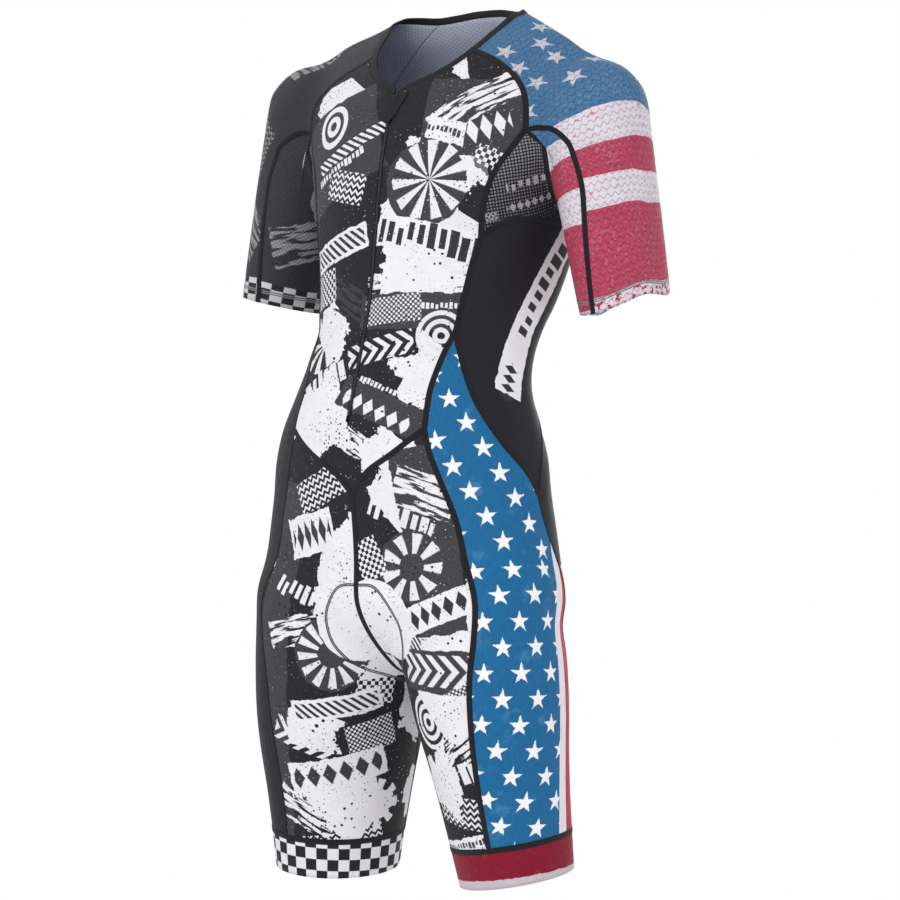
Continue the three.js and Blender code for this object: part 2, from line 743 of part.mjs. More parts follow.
// The seam lines of the left half
function seamLines() {
  const trunkLine = (...tables) => tables.flat().map(onTrunk);
  const neckRows = [NECK_FRONT, NECK_SIDE, NECK_BACK_SIDE, NECK_BACK];
  const stops = neckRows.map((_, k) => neckRows.slice(0, k + 1).flat().length - 1);
  const [neckFront, neckSide, neckBackSide, neckBack] = seam(trunkLine(...neckRows), [
    { to: stops[0], steps: STEPS.neckFront },
    { to: stops[1], steps: STEPS.neckSide },
    { to: stops[2], steps: STEPS.neckBackSide },
    { to: stops[3], steps: STEPS.neckBack },
  ]).map(settled);

  const raglanGuides = [neckFront.at(-1), ...trunkLine(RAGLAN_FRONT)];
  const [raglanFront] = seam(raglanGuides, [{ steps: STEPS.raglan }]).map(settled);
  const backGuides = [neckBackSide.at(-1), ...trunkLine(RAGLAN_BACK)];
  const [raglanBack] = seam(backGuides, [{ steps: STEPS.raglan }]).map(settled);

  const gripperFront = onLeg({ turn: 16, down: gripperTop(16) });
  const sideGuides = [
    ...trunkLine(GUSSET_FRONT, SIDE_FRONT, HIP_FRONT, THIGH_TOP_FRONT),
    ...THIGH_FRONT.map(onLeg),
    gripperFront,
  ];
  const atGusset = GUSSET_FRONT.length - 1;
  const atWaist = atGusset + SIDE_FRONT.length;
  const atHip = atWaist + HIP_FRONT.length;
  const [gussetFront, sideFront, hipFront, thighFront] = seam(sideGuides, [
    { to: atGusset, steps: STEPS.gussetSide, spacing: GUSSET_SPACING },
    { to: atWaist, steps: STEPS.sideFront },
    { to: atHip, steps: STEPS.hipFront },
    { steps: STEPS.thighFront },
  ]).map(settled);

  const gripperBack = onLeg({ turn: 135, down: gripperTop(135) });
  const panelGuides = [...trunkLine(PANEL_BACK, THIGH_TOP_BACK), ...THIGH_BACK.map(onLeg), gripperBack];
  const [panelBack, thighBack] = seam(panelGuides, [
    { to: PANEL_BACK.length - 1, steps: STEPS.panelBack },
    { steps: STEPS.thighBack },
  ]).map(settled);

  const backSideGuides = trunkLine(GUSSET_BACK, SIDE_BACK, SEAT_SIDE);
  const atSeat = GUSSET_BACK.length - 1 + SIDE_BACK.length;
  const [gussetBack, sideBack, seatSide] = seam(backSideGuides, [
    { to: GUSSET_BACK.length - 1, steps: STEPS.gussetSide, spacing: GUSSET_SPACING },
    { to: atSeat, steps: STEPS.sideBack },
    { steps: STEPS.seatSide },
  ]).map(settled);

  const [gussetBottom] = seam(trunkLine(GUSSET_BOTTOM), [{ steps: STEPS.gussetBottom }]).map(settled);
  const [vee] = seam(trunkLine(VEE), [{ steps: STEPS.vee }]).map(settled);
  const [seatTop] = seam(trunkLine(SEAT_TOP), [{ steps: STEPS.vee }]).map(settled);

  const crotchGuides = [onTrunk({ turn: 0, z: -520 }), ...CROTCH_FRONT.map(inMiddle)];
  const [crotchFront] = seam(crotchGuides, [{ steps: STEPS.crotch }]).map(settled);
  const seatGuides = [onTrunk({ turn: 180, z: -428 }), ...CROTCH_BACK.map(inMiddle)];
  const [crotchBack] = seam(seatGuides, [{ steps: STEPS.crotch }]).map(settled);
  const [centreFrontLower] = seam(trunkLine(CENTRE_FRONT_LOWER), [{ steps: STEPS.centreFrontLower }]).map(settled);
  const [centreBack] = seam(trunkLine(CENTRE_BACK), [{ steps: STEPS.centreBack }]).map(settled);

  const gripperInner = onLeg({ turn: -124, down: gripperTop(-124) });
  const inseamGuides = [crotchFront.at(-1), ...INSEAM.map(onLeg), gripperInner];
  const [inseam] = seam(inseamGuides, [{ steps: STEPS.inseam }]).map(settled);

  const armholeGuides = [
    raglanFront.at(-1),
    ...ARMHOLE.map(({ y, z }) => settleInCrease(vector(ARMHOLE_X, y, z))),
    raglanBack.at(-1),
  ];
  const [armhole] = seam(armholeGuides, [{ steps: STEPS.gussetBottom }]);
  const armholeLine = armhole.map((p, i) => (i === 0 || i === armhole.length - 1 ? p : settleInCrease(p)));

  const sleeveGuides = [raglanFront.at(-1), ...SLEEVE_FRONT.map(onArm)];
  const [sleeveFront] = seam(sleeveGuides, [{ steps: STEPS.sleeve, spacing: SLEEVE_SPACING }]).map(settled);
  const sleeveBackGuides = [raglanBack.at(-1), ...SLEEVE_BACK.map(onArm)];
  const [sleeveBack] = seam(sleeveBackGuides, [{ steps: STEPS.sleeve, spacing: SLEEVE_SPACING }]).map(settled);
  const ridgeGuides = [
    neckSide.at(-1),
    ...SHOULDER_RIDGE.map(({ x, y, z }) => settle(vector(x, y, z))),
    ...RIDGE_ON_ARM.map(onArm),
  ];
  const [ridge] = seam(ridgeGuides, [{ steps: STEPS.raglan + STEPS.sleeve }]).map(settled);

  return {
    neckFront, neckSide, neckBackSide, neckBack, raglanFront, raglanBack,
    gussetFront, sideFront, hipFront, thighFront, panelBack, thighBack,
    gussetBack, sideBack, seatSide, gussetBottom, vee, seatTop,
    crotchFront, crotchBack, centreFrontLower, centreBack, inseam,
    armhole: armholeLine, sleeveFront, sleeveBack, ridge,
  };
}

function gripperTop(turn) {
  return GRIPPER_TOP.down + GRIPPER_TOP.dip * Math.cos(radians(turn));
}

function legHem(turn) {
  return LEG_HEM.down + LEG_HEM.dip * Math.cos(radians(turn));
}

// Points round a leg or an arm from one turn to another
function arc(place, downAt, from, to, steps) {
  const points = [];
  for (let i = 0; i <= steps; i += 1) {
    const turn = from + ((to - from) * i) / steps;
    points.push(place({ turn, down: downAt(turn) }));
  }
  return points;
}

// The front edge beside the zip: parallel to the slit, and closing on the centre line at its end
function zipEdge(halfSlit) {
  const points = [];
  for (let i = 0; i <= STEPS.zip; i += 1) {
    const z = ZIP_TOP + ((ZIP_END - ZIP_TOP) * i) / STEPS.zip;
    points.push(frontPoint(i === STEPS.zip ? 0 : halfSlit, z));
  }
  return points;
}

function frontPoint(x, z) {
  return settle(vector(x, trunk.middle(z) - trunk.front(z), z));
}

function bodyPanels(lines) {
  const slit = zipEdge(ZIP_HALF_SLIT);
  const neckFront = [slit[0], ...lines.neckFront.slice(1)];
  const front = patch({
    top: neckFront,
    right: joined(lines.raglanFront, lines.gussetFront, lines.sideFront, lines.hipFront),
    bottom: reversed(lines.vee),
    left: joined(slit, lines.centreFrontLower),
  }, roundTrunk);
  const back = patch({
    top: reversed(lines.neckBack),
    right: joined(lines.raglanBack, lines.gussetBack, lines.sideBack),
    bottom: lines.seatTop,
    left: lines.centreBack,
  }, roundTrunk);
  return [
    wall("front_body", [front, mirrored(front)], COLOURS.charcoal),
    wall("back_body", [back, mirrored(back)], COLOURS.charcoal),
  ];
}

function sideGrids(lines) {
  return {
    side: [patch({
      top: lines.gussetBottom,
      right: joined(lines.sideBack, lines.seatSide),
      bottom: lines.panelBack,
      left: lines.sideFront,
    }, roundTrunk)],
    gusset: [patch({
      top: lines.armhole,
      right: lines.gussetBack,
      bottom: lines.gussetBottom,
      left: lines.gussetFront,
    }, roundTrunk)],
  };
}

function sleeveGrids(lines) {
  const hemAt = () => SLEEVE_HEM;
  const front = patch({
    top: lines.neckSide,
    right: lines.ridge,
    bottom: arc(onArm, hemAt, -4, 90, STEPS.hemHalf),
    left: joined(lines.raglanFront, lines.sleeveFront),
  });
  const back = patch({
    top: lines.neckBackSide,
    right: joined(lines.raglanBack, lines.sleeveBack),
    bottom: arc(onArm, hemAt, 90, 184, STEPS.hemHalf),
    left: lines.ridge,
  });
  const [frontBend, frontSeam] = [lines.sleeveFront.slice(0, SLEEVE_BEND + 1), lines.sleeveFront.slice(SLEEVE_BEND)];
  const [backBend, backSeam] = [lines.sleeveBack.slice(0, SLEEVE_BEND + 1), lines.sleeveBack.slice(SLEEVE_BEND)];
  const under = patch({
    top: joined(reversed(frontBend), lines.armhole, backBend),
    right: backSeam,
    bottom: arc(onArm, hemAt, -4, -176, STEPS.gussetBottom + 2 * SLEEVE_BEND),
    left: frontSeam,
  }, roundArm);
  return { sleeve: [front, back], under_sleeve: [under] };
}

function legGrids(lines) {
  const front = patch({
    top: reversed(lines.vee),
    right: lines.thighFront,
    bottom: arc(onLeg, gripperTop, -124, 16, STEPS.vee),
    left: joined(lines.crotchFront, lines.inseam),
  });
  const back = patch({
    top: lines.seatTop,
    right: joined(lines.seatSide, lines.thighBack),
    bottom: arc(onLeg, gripperTop, -124, -225, STEPS.vee),
    left: joined(lines.crotchBack, lines.inseam),
  });
  const apex = lines.panelBack[0];
  const side = patch({
    top: Array.from({ length: STEPS.thighSideHem + 1 }, () => apex),
    right: joined(lines.panelBack, lines.thighBack),
    bottom: arc(onLeg, gripperTop, 16, 135, STEPS.thighSideHem),
    left: joined(lines.hipFront, lines.thighFront),
  });
  return { leg_front: [front], leg_back: [back], leg_side: [side] };
}

// The band round the thigh: one ring from the gripper seam to the hem
function gripperGrid() {
  const grid = [];
  for (let j = 0; j <= STEPS.gripper; j += 1) {
    const share = j / STEPS.gripper;
    const downAt = (turn) => gripperTop(turn) + (legHem(turn) - gripperTop(turn)) * share;
    grid.push(joined(
      arc(onLeg, downAt, -124, 16, STEPS.vee),
      arc(onLeg, downAt, 16, 135, STEPS.thighSideHem),
      arc(onLeg, downAt, 135, 236, STEPS.vee),
    ));
  }
  return grid;
}

function pairs(grids, colours) {
  return Object.entries(grids).flatMap(([name, sheets]) => [
    wall(`${name}_left`, sheets, colours[name].left),
    wall(`${name}_right`, sheets.map(mirrored), colours[name].right),
  ]);
}

function grippers() {
  const ring = gripperGrid();
  return [
    wall("gripper_left", [ring], COLOURS.red, { thickness: GRIPPER_CLOTH }),
    wall("gripper_right", [mirrored(ring)], COLOURS.ink, { thickness: GRIPPER_CLOTH }),
  ];
}

// The folded edge round the neck, above the edge of the panels, open at the zip
function neckBinding(lines) {
  const start = zipEdge(ZIP_HALF_SLIT)[0];
  const half = joined([start, ...lines.neckFront.slice(1)], lines.neckSide, lines.neckBackSide, lines.neckBack);
  const loop = half.concat(reversed(half).slice(1).map((p) => vector(-p.x, p.y, p.z)));
  const low = SEAM_GAP;
  const high = SEAM_GAP + BINDING_WIDTH;
  const outer = 0.3;
  const inner = outer - BINDING_WALL;
  const section = [[low, outer], [high - 1, outer], [high, outer - 0.7], [high, inner + 0.7], [high - 1, inner], [low, inner]];
  const stations = loop.map((p, i) => {
    const before = loop[Math.max(0, i - 1)];
    const after = loop[Math.min(loop.length - 1, i + 1)];
    const normal = normalAt(p);
    const along = after.clone().sub(before);
    if (i === 0 || i === loop.length - 1) along.set(1, 0, 0);
    const up = normal.clone().cross(along).normalize();
    return section.map(([rise, lift]) => p.clone().addScaledVector(up, rise).addScaledVector(normal, lift));
  });
  return bar("neck_binding", stations, COLOURS.ink);
}

// Rows of points across the zip, at the same heights as the rows of the front's edge
function zipGrid(fromX, toX, firstRow, lastRow) {
  const grid = [];
  for (let i = firstRow; i <= lastRow; i += 1) {
    const z = ZIP_TOP + ((ZIP_END - ZIP_TOP) * i) / STEPS.zip;
    grid.push([frontPoint(fromX, z), frontPoint(toX, z)]);
  }
  return grid;
}

function zipParts() {
  const tapeDepth = CLOTH + TAPE_GAP;
  const tape = zipGrid(0.1, TAPE_HALF_WIDTH, 0, STEPS.zip);
  const tapeForm = { thickness: TAPE_WALL, raise: () => -tapeDepth };
  const chainForm = { thickness: CLOTH + 0.6, inset: 0, raise: () => 0.3 };
  const chain = zipGrid(-ZIP_HALF_CHAIN, ZIP_HALF_CHAIN, 1, STEPS.zip - 1);
  return [
    wall("zip_tape_left", [tape], COLOURS.ink, tapeForm),
    wall("zip_tape_right", [mirrored(tape)], COLOURS.ink, tapeForm),
    wall("zip_chain", [chain], COLOURS.ink, chainForm),
    zipSlider(),
    zipTab(),
    zipGarage(),
  ];
}

// A bar down the middle of the front, its cross-section given by width and height off the cloth
function frontBar(name, section, fromZ, toZ, colour) {
  const stations = [fromZ, toZ].map((z) => {
    const p = frontPoint(0, z);
    const normal = normalAt(p);
    return section.map(([x, lift]) => p.clone().addScaledVector(normal, lift).add(vector(x, 0, 0)));
  });
  return bar(name, stations, colour);
}

// The slider fills the slit above the chain, with its plate lying on the cloth
function zipSlider() {
  const section = [[-2, 0.5], [-2, -1.5], [2, -1.5], [2, 0.5], [3.4, 0.8], [3.4, 1.6], [-3.4, 1.6], [-3.4, 0.8]];
  return frontBar("zip_slider", section, CHAIN_TOP + SLIDER_LENGTH, CHAIN_TOP + SEAM_GAP, COLOURS.metal);
}

// The slider's tab, tucked flat under the garage
function zipTab() {
  const section = [[-2, 0.7], [2, 0.7], [2, 1.7], [-2, 1.7]];
  return frontBar("zip_tab", section, CHAIN_TOP, CHAIN_TOP - TAB_LENGTH, COLOURS.metal);
}

// The small fold of cloth over the top of the zip, sewn on at the binding and arched over the slider
function zipGarage() {
  const rows = [
    { z: -96.5, from: -4, to: 16 },
    { z: -103, from: -6, to: 14 },
    { z: -110, from: -6, to: 11 },
    { z: -117, from: -5.5, to: 8 },
    { z: -124, from: -3, to: 3.5 },
  ];
  const columns = [0, 0.1, 0.3, 0.5, 0.65, 1];
  const tilt = 0.32;
  const sewnHeight = 1.75;
  const archHeight = 1.35;
  const grid = rows.map(({ z, from, to }) => columns.map((part) => {
    const x = from + (to - from) * part;
    return frontPoint(x, z + tilt * Math.max(0, x));
  }));
  const standOff = (p) => sewnHeight + archHeight * smoothStep((7 - Math.abs(p.x)) / 3);
  return wall("zip_garage", [grid], COLOURS.ink, { thickness: 1.1, inset: 0, raise: standOff });
}

function triathlonSuit() {
  const lines = seamLines();
  const suit = new THREE.Group();
  const plain = { left: COLOURS.charcoal, right: COLOURS.charcoal };
  const colours = {
    side: plain,
    gusset: { left: COLOURS.ink, right: COLOURS.ink },
    sleeve: { left: COLOURS.red, right: COLOURS.charcoal },
    under_sleeve: { left: COLOURS.red, right: COLOURS.charcoal },
    leg_front: { left: COLOURS.white, right: COLOURS.white },
    leg_back: plain,
    leg_side: { left: COLOURS.blue, right: COLOURS.charcoal },
  };
  suit.add(
    ...bodyPanels(lines),
    ...pairs({ ...sideGrids(lines), ...sleeveGrids(lines), ...legGrids(lines) }, colours),
    ...grippers(),
    neckBinding(lines),
    ...zipParts(),
  );
  return suit;
}

export default triathlonSuit();
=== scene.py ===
# The looks of a triathlon suit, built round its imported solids, in metres unless a name says mm.
# +Z is up, the wearer faces -Y and the wearer's left side is +X.

import math

import bpy
import numpy as np
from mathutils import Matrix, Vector
from mathutils.bvhtree import BVHTree

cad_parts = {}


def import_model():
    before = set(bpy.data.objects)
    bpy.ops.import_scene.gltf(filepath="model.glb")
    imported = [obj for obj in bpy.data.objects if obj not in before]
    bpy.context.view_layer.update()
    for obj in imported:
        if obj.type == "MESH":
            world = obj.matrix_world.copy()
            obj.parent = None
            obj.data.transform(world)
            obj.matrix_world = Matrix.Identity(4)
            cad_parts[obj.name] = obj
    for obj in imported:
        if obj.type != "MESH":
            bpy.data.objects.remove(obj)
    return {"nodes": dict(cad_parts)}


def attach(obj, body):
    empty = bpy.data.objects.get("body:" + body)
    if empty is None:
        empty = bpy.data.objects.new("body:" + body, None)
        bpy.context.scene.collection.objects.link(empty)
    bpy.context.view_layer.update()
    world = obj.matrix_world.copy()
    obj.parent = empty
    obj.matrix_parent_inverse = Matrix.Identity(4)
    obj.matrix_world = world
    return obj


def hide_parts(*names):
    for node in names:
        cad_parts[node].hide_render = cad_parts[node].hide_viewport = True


MM = 0.001

# Camera, from the photo: level, turned to the wearer's left, with a long lens
CAMERA_TURN = 36.5
CAMERA_DISTANCE = 4.4
CAMERA_HEIGHT = -0.473
CAMERA_LENS_MM = 161.5
CAMERA_SHIFT = -3 / 900

# The floor is where the feet of a wearer 1.8 m tall would stand.
FLOOR_HEIGHT = -1.5
FLOOR_SIDE = 6
SKY = 1.0
# Soft lights: turn to the wearer's left, distance, height, side and power in watts
LIGHTS = {
    "key": (2, 3.2, 1.1, 2.0, 42),
    "fill": (84, 3.0, 0.2, 2.4, 11),
    "back": (205, 2.8, 0.7, 1.8, 38),
}

# Cloth and sewing sizes
CLOTH = 1.3 * MM
WALL = 1.5 * MM
GRIPPER_WALL = 1.9 * MM
WELD = 0.02 * MM
FINENESS = 2
SLIT_REACH = 4 * MM
SLIT_HEIGHTS = (-455, -90)
CORNER = 28
SEAM_REACH = 1.3 * MM
BAND_HALF = 3.1 * MM
BAND_LIFT = 0.55 * MM
THREAD = 0.8 * MM
THREAD_LIFT = 0.3 * MM
CUFF_STITCHES = (12 * MM, 14.2 * MM)
CUFF_SPREAD = 70 * MM
TOOTH_PITCH = 1.7 * MM
TOOTH_SIZE = (1.1 * MM, 0.7 * MM, 0.62 * MM)

# The panels, each with a name for its kind of cloth
PANELS = {
    "front_body": "printed_knit",
    "back_body": "charcoal_knit",
    "side_left": "charcoal_knit",
    "side_right": "charcoal_knit",
    "gusset_left": "gusset_mesh",
    "gusset_right": "gusset_mesh",
    "sleeve_left": "red_knit",
    "sleeve_right": "dark_sleeve_knit",
    "under_sleeve_left": "red_knit",
    "under_sleeve_right": "dark_sleeve_knit",
    "leg_front_left": "printed_knit",
    "leg_front_right": "printed_knit",
    "leg_back_left": "charcoal_knit",
    "leg_back_right": "charcoal_knit",
    "leg_side_left": "blue_knit",
    "leg_side_right": "charcoal_knit",
    "gripper_left": "red_knit",
    "gripper_right": "checked_knit",
}

# How far a panel's flat cut is moved, in mm, to carry on its neighbour's print
PRINT_SHIFT = {"under_sleeve_left": (0, -85)}

# Where the cloth hangs off the solid's form: a place, a reach each way and a shift, in mm
HANGS = [
    ((228, -62, -318), (75, 50, 150), (0, 0, -14)),
    ((176, 0, -318), (50, 60, 140), (0, 0, -4)),
    ((228, 56, -318), (80, 60, 160), (0, 0, 24)),
]

# Soft troughs, and ridges where the depth is below zero: side of the suit, -1 in front and 1 behind,
# the x and z of both ends, width and depth, in mm
CREASES = [
    (-1, (138, -152), (98, -206), 9, 1.7),
    (-1, (150, -172), (122, -250), 10, 1.4),
    (-1, (130, -140), (112, -112), 8, 1.2),
    (-1, (-136, -150), (-96, -196), 9, 1.6),
    (-1, (-150, -176), (-122, -262), 11, 1.3),
    (-1, (112, -346), (52, -372), 12, 1.6),
    (-1, (106, -384), (66, -394), 10, 1.1),
    (-1, (-112, -340), (-48, -360), 13, 1.6),
    (-1, (-104, -372), (-70, -385), 9, -0.9),
    (-1, (18, -596), (96, -548), 11, 2.0),
    (-1, (24, -574), (80, -520), 12, -1.3),
    (-1, (-20, -600), (-92, -556), 12, 1.9),
    (-1, (-26, -578), (-84, -530), 11, -1.2),
    (-1, (34, -664), (112, -632), 10, 1.6),
    (-1, (-36, -668), (-106, -644), 11, 1.5),
    (-1, (60, -706), (128, -724), 9, 1.0),
    (-1, (-58, -700), (-120, -716), 10, 1.1),
    (-1, (72, -862), (134, -872), 9, 1.1),
    (-1, (-70, -858), (-128, -868), 10, 1.0),
    (-1, (212, -196), (246, -214), 9, 1.2),
    (-1, (-208, -190), (-240, -212), 10, 1.2),
    (1, (-74, -348), (34, -360), 16, 2.3),
    (1, (-22, -384), (84, -374), 14, 1.7),
    (1, (-92, -316), (-24, -325), 12, 1.3),
    (1, (30, -322), (94, -306), 13, 1.2),
    (1, (62, -124), (24, -226), 15, 1.6),
    (1, (-66, -118), (-22, -218), 14, 1.6),
    (1, (26, -694), (112, -708), 12, 2.2),
    (1, (-28, -698), (-116, -704), 13, 2.3),
    (1, (40, -716), (104, -732), 10, -1.1),
    (1, (-44, -722), (-100, -734), 10, -1.0),
    (1, (64, -884), (130, -878), 10, 1.3),
    (1, (-66, -880), (-126, -890), 9, 1.2),
    (1, (196, -214), (232, -222), 10, 1.4),
    (1, (-198, -206), (-236, -220), 9, 1.3),
]

# The stitch line round the seat pad, as half widths and heights in front, in mm
PAD_FRONT = [(0, -612), (22, -619), (37, -635), (46, -655), (46, -675), (38, -692), (27, -703)]
PAD_BEHIND = [(25, -706), (30, -690), (34, -664), (33, -636), (24, -614), (10, -604), (0, -602)]


def unit(vectors):
    return vectors / np.maximum(np.linalg.norm(vectors, axis=-1, keepdims=True), 1e-12)


def node_mesh(name):
    """Points and triangles of a solid, with the points that share a place made one."""
    mesh = bpy.data.objects[name].data
    mesh.calc_loop_triangles()
    points = np.array([v.co for v in mesh.vertices], float).reshape(-1, 3)
    triangles = np.array([t.vertices for t in mesh.loop_triangles], int)
    keys = np.round(points / WELD).astype(int)
    _, first, again = np.unique(keys, axis=0, return_index=True, return_inverse=True)
    triangles = again.reshape(-1)[triangles]
    whole = (np.diff(np.sort(triangles, axis=1), axis=1) > 0).all(axis=1)
    return points[first], triangles[whole]


def face_normals(points, triangles):
    a, b, c = points[triangles.T]
    return np.cross(b - a, c - a)


def point_normals(points, triangles):
    normals = np.zeros_like(points)
    for corner in range(3):
        np.add.at(normals, triangles[:, corner], face_normals(points, triangles))
    return unit(normals)


def edge_table(triangles):
    """Each edge once, with the triangles on both sides of it, or -1 where there is none."""
    sides = np.concatenate([triangles[:, [0, 1]], triangles[:, [1, 2]], triangles[:, [2, 0]]])
    owners = np.tile(np.arange(len(triangles)), 3)
    edges, index = np.unique(np.sort(sides, axis=1), axis=0, return_inverse=True)
    faces = np.full((len(edges), 2), -1)
    for side, owner in zip(index.reshape(-1), owners):
        faces[side, 0 if faces[side, 0] < 0 else 1] = owner
    return edges, faces, index.reshape(3, -1).T


def opposite_points(points, wall):
    """For each point of a wall of cloth, the point straight across the wall from it."""
    gaps = np.linalg.norm(points[:, None] - points[None], axis=2)
    return np.abs(gaps - wall).argmin(axis=1)


def linked(edges, count):
    """A label for each point, the same for all that the edges link."""
    label = np.arange(count)
    while True:
        before = label.copy()
        low = np.minimum(label[edges[:, 0]], label[edges[:, 1]])
        np.minimum.at(label, edges[:, 0], low)
        np.minimum.at(label, edges[:, 1], low)
        if (label == before).all():
            return label


def outer_sheet(name):
    """The outer side of a wall of cloth. An edge lies in a side if the same edge is across the wall."""
    points, triangles = node_mesh(name)
    wall = GRIPPER_WALL if name.startswith("gripper") else WALL
    across = opposite_points(points, wall)
    edges, _, _ = edge_table(triangles)
    have = {tuple(edge) for edge in edges.tolist()}
    same = [
        (a, b) for a, b in have
        if across[a] != b and (min(across[a], across[b]), max(across[a], across[b])) in have
    ]
    label = linked(np.array(same), len(points))
    centre = sheet_centre(name)
    best = None
    for value in np.unique(label):
        part = triangles[(label[triangles] == value).all(axis=1)]
        middle = points[part].mean(axis=1)
        facing = ((middle - centre(middle)) * face_normals(points, part)).sum()
        if best is None or facing > best[0]:
            best = (facing, part)
    outer = best[1]
    used, again = np.unique(outer, return_inverse=True)
    return points[used], again.reshape(outer.shape)


LIMB_AXES = {
    "trunk": ((0, 8, 0), (0, -80, -620)),
    "arm": ((186, 2, -108), (229, -5, -312)),
    "leg": ((91, -78, -650), (121, -49, -928)),
}


def sheet_centre(name):
    """A function that gives the nearest point of the axis that a panel goes round."""
    limb = "arm" if "sleeve" in name else "leg" if name.startswith("gripper") else "trunk"
    mirror = np.array([-1 if name.endswith("right") else 1, 1, 1]) * MM
    top, end = (np.array(place) * mirror for place in LIMB_AXES[limb])
    along = unit(end - top)
    return lambda places: top + np.outer((places - top) @ along, along)


class Subdivision:
    """Rounds a sheet by splitting each triangle into four, level by level, through its own points."""

    def __init__(self, triangles, count, corners):
        self.levels = []
        self.count = count
        self.corners = corners
        for _ in range(FINENESS):
            edges, faces, sides = edge_table(triangles)
            self.levels.append((triangles, edges, faces, count))
            middles = count + sides
            a, b, c = triangles.T
            ab, bc, ca = middles.T
            rows = [(a, ab, ca), (ab, b, bc), (ca, bc, c), (ab, bc, ca)]
            triangles = np.concatenate([np.stack(row, axis=1) for row in rows])
            count += len(edges)
        self.triangles = triangles

    def once(self, values):
        for triangles, edges, faces, count in self.levels:
            values = self.split(values, triangles, edges, faces, count)
        return values

    def split(self, values, triangles, edges, faces, count):
        rim = (faces < 0).any(axis=1)
        ends = values[edges]
        middles = ends.mean(axis=1)
        sums = values[triangles].sum(axis=1)
        inner = ~rim
        facing = sums[faces[inner]].sum(axis=1) - 2 * ends[inner].sum(axis=1)
        middles[inner] = ends[inner].sum(axis=1) * 3 / 8 + facing / 8
        around = np.zeros_like(values)
        number = np.zeros(count)
        for k in range(2):
            np.add.at(around, edges[:, k], values[edges[:, 1 - k]])
            np.add.at(number, edges[:, k], 1)
        beta = 3 / (8 * np.maximum(number, 3))
        moved = values * (1 - number * beta)[:, None] + around * beta[:, None]
        on_rim = np.zeros(count, bool)
        on_rim[edges[rim].ravel()] = True
        beside = np.zeros_like(values)
        for k in range(2):
            np.add.at(beside, edges[rim][:, k], values[edges[rim][:, 1 - k]])
        moved[on_rim] = values[on_rim] * 0.75 + beside[on_rim] / 8
        moved[self.corners] = values[self.corners]
        return np.concatenate([moved, middles])

    def through(self, values):
        """The smooth values that keep the given ones at the points of the coarse sheet."""
        guide = values.copy()
        for _ in range(6):
            guide += values - self.once(guide)[: self.count]
        return self.once(guide)


def rim_loops(triangles):
    """The loops of points round a sheet, with the sheet on the left."""
    sides = np.concatenate([triangles[:, [0, 1]], triangles[:, [1, 2]], triangles[:, [2, 0]]])
    have = {tuple(side) for side in sides.tolist()}
    following = {a: b for a, b in have if (b, a) not in have}
    loops = []
    while following:
        start, point = following.popitem()
        loop = [start]
        while point != start:
            loop.append(point)
            point = following.pop(point)
        loops.append(loop)
    return loops


def sharp_corners(points, triangles):
    corners = []
    for loop in rim_loops(triangles):
        ring = points[loop]
        before = unit(ring - np.roll(ring, 1, axis=0))
        after = unit(np.roll(ring, -1, axis=0) - ring)
        turn = np.degrees(np.arccos(np.clip((before * after).sum(axis=1), -1, 1)))
        corners += [loop[i] for i in np.flatnonzero(turn > CORNER)]
    return corners


def flat_cut(points, triangles):
    """The sheet laid flat with as little stretch as it allows, up the way it hangs, in metres."""
    a, b, c = points[triangles.T]
    along = unit(b - a)
    across = unit(np.cross(np.cross(b - a, c - a), b - a))
    zero = np.zeros(len(a))
    shape = np.stack([
        np.stack([zero, zero], axis=1),
        np.stack([((b - a) * along).sum(axis=1), zero], axis=1),
        np.stack([((c - a) * along).sum(axis=1), ((c - a) * across).sum(axis=1)], axis=1),
    ], axis=1)
    count = len(points)
    weights = []
    pull = np.zeros((count, count))
    for k in range(3):
        i, j, opposite = (k + 1) % 3, (k + 2) % 3, k
        p, q = shape[:, i] - shape[:, opposite], shape[:, j] - shape[:, opposite]
        sine = np.maximum(np.abs(p[:, 0] * q[:, 1] - p[:, 1] * q[:, 0]), 1e-12)
        weight = np.maximum((p * q).sum(axis=1) / sine, 0.02) / 2
        weights.append(weight)
        for u, v in ((triangles[:, i], triangles[:, j]), (triangles[:, j], triangles[:, i])):
            np.add.at(pull, (u, u), weight)
            np.add.at(pull, (u, v), -weight)
    flat = spread_in_circle(points, triangles, pull)
    solve = np.linalg.pinv(pull)
    for _ in range(60):
        spin = np.zeros((len(triangles), 2))
        for k in range(3):
            i, j = (k + 1) % 3, (k + 2) % 3
            now = flat[triangles[:, i]] - flat[triangles[:, j]]
            was = shape[:, i] - shape[:, j]
            spin[:, 0] += weights[k] * (now * was).sum(axis=1)
            spin[:, 1] += weights[k] * (now[:, 1] * was[:, 0] - now[:, 0] * was[:, 1])
        spin = unit(spin)
        target = np.zeros((count, 2))
        for k in range(3):
            i, j = (k + 1) % 3, (k + 2) % 3
            was = shape[:, i] - shape[:, j]
            turned = np.stack([
                spin[:, 0] * was[:, 0] - spin[:, 1] * was[:, 1],
                spin[:, 1] * was[:, 0] + spin[:, 0] * was[:, 1],
            ], axis=1) * weights[k][:, None]
            np.add.at(target, triangles[:, i], turned)
            np.add.at(target, triangles[:, j], -turned)
        flat = solve @ target
    return upright(flat, points)


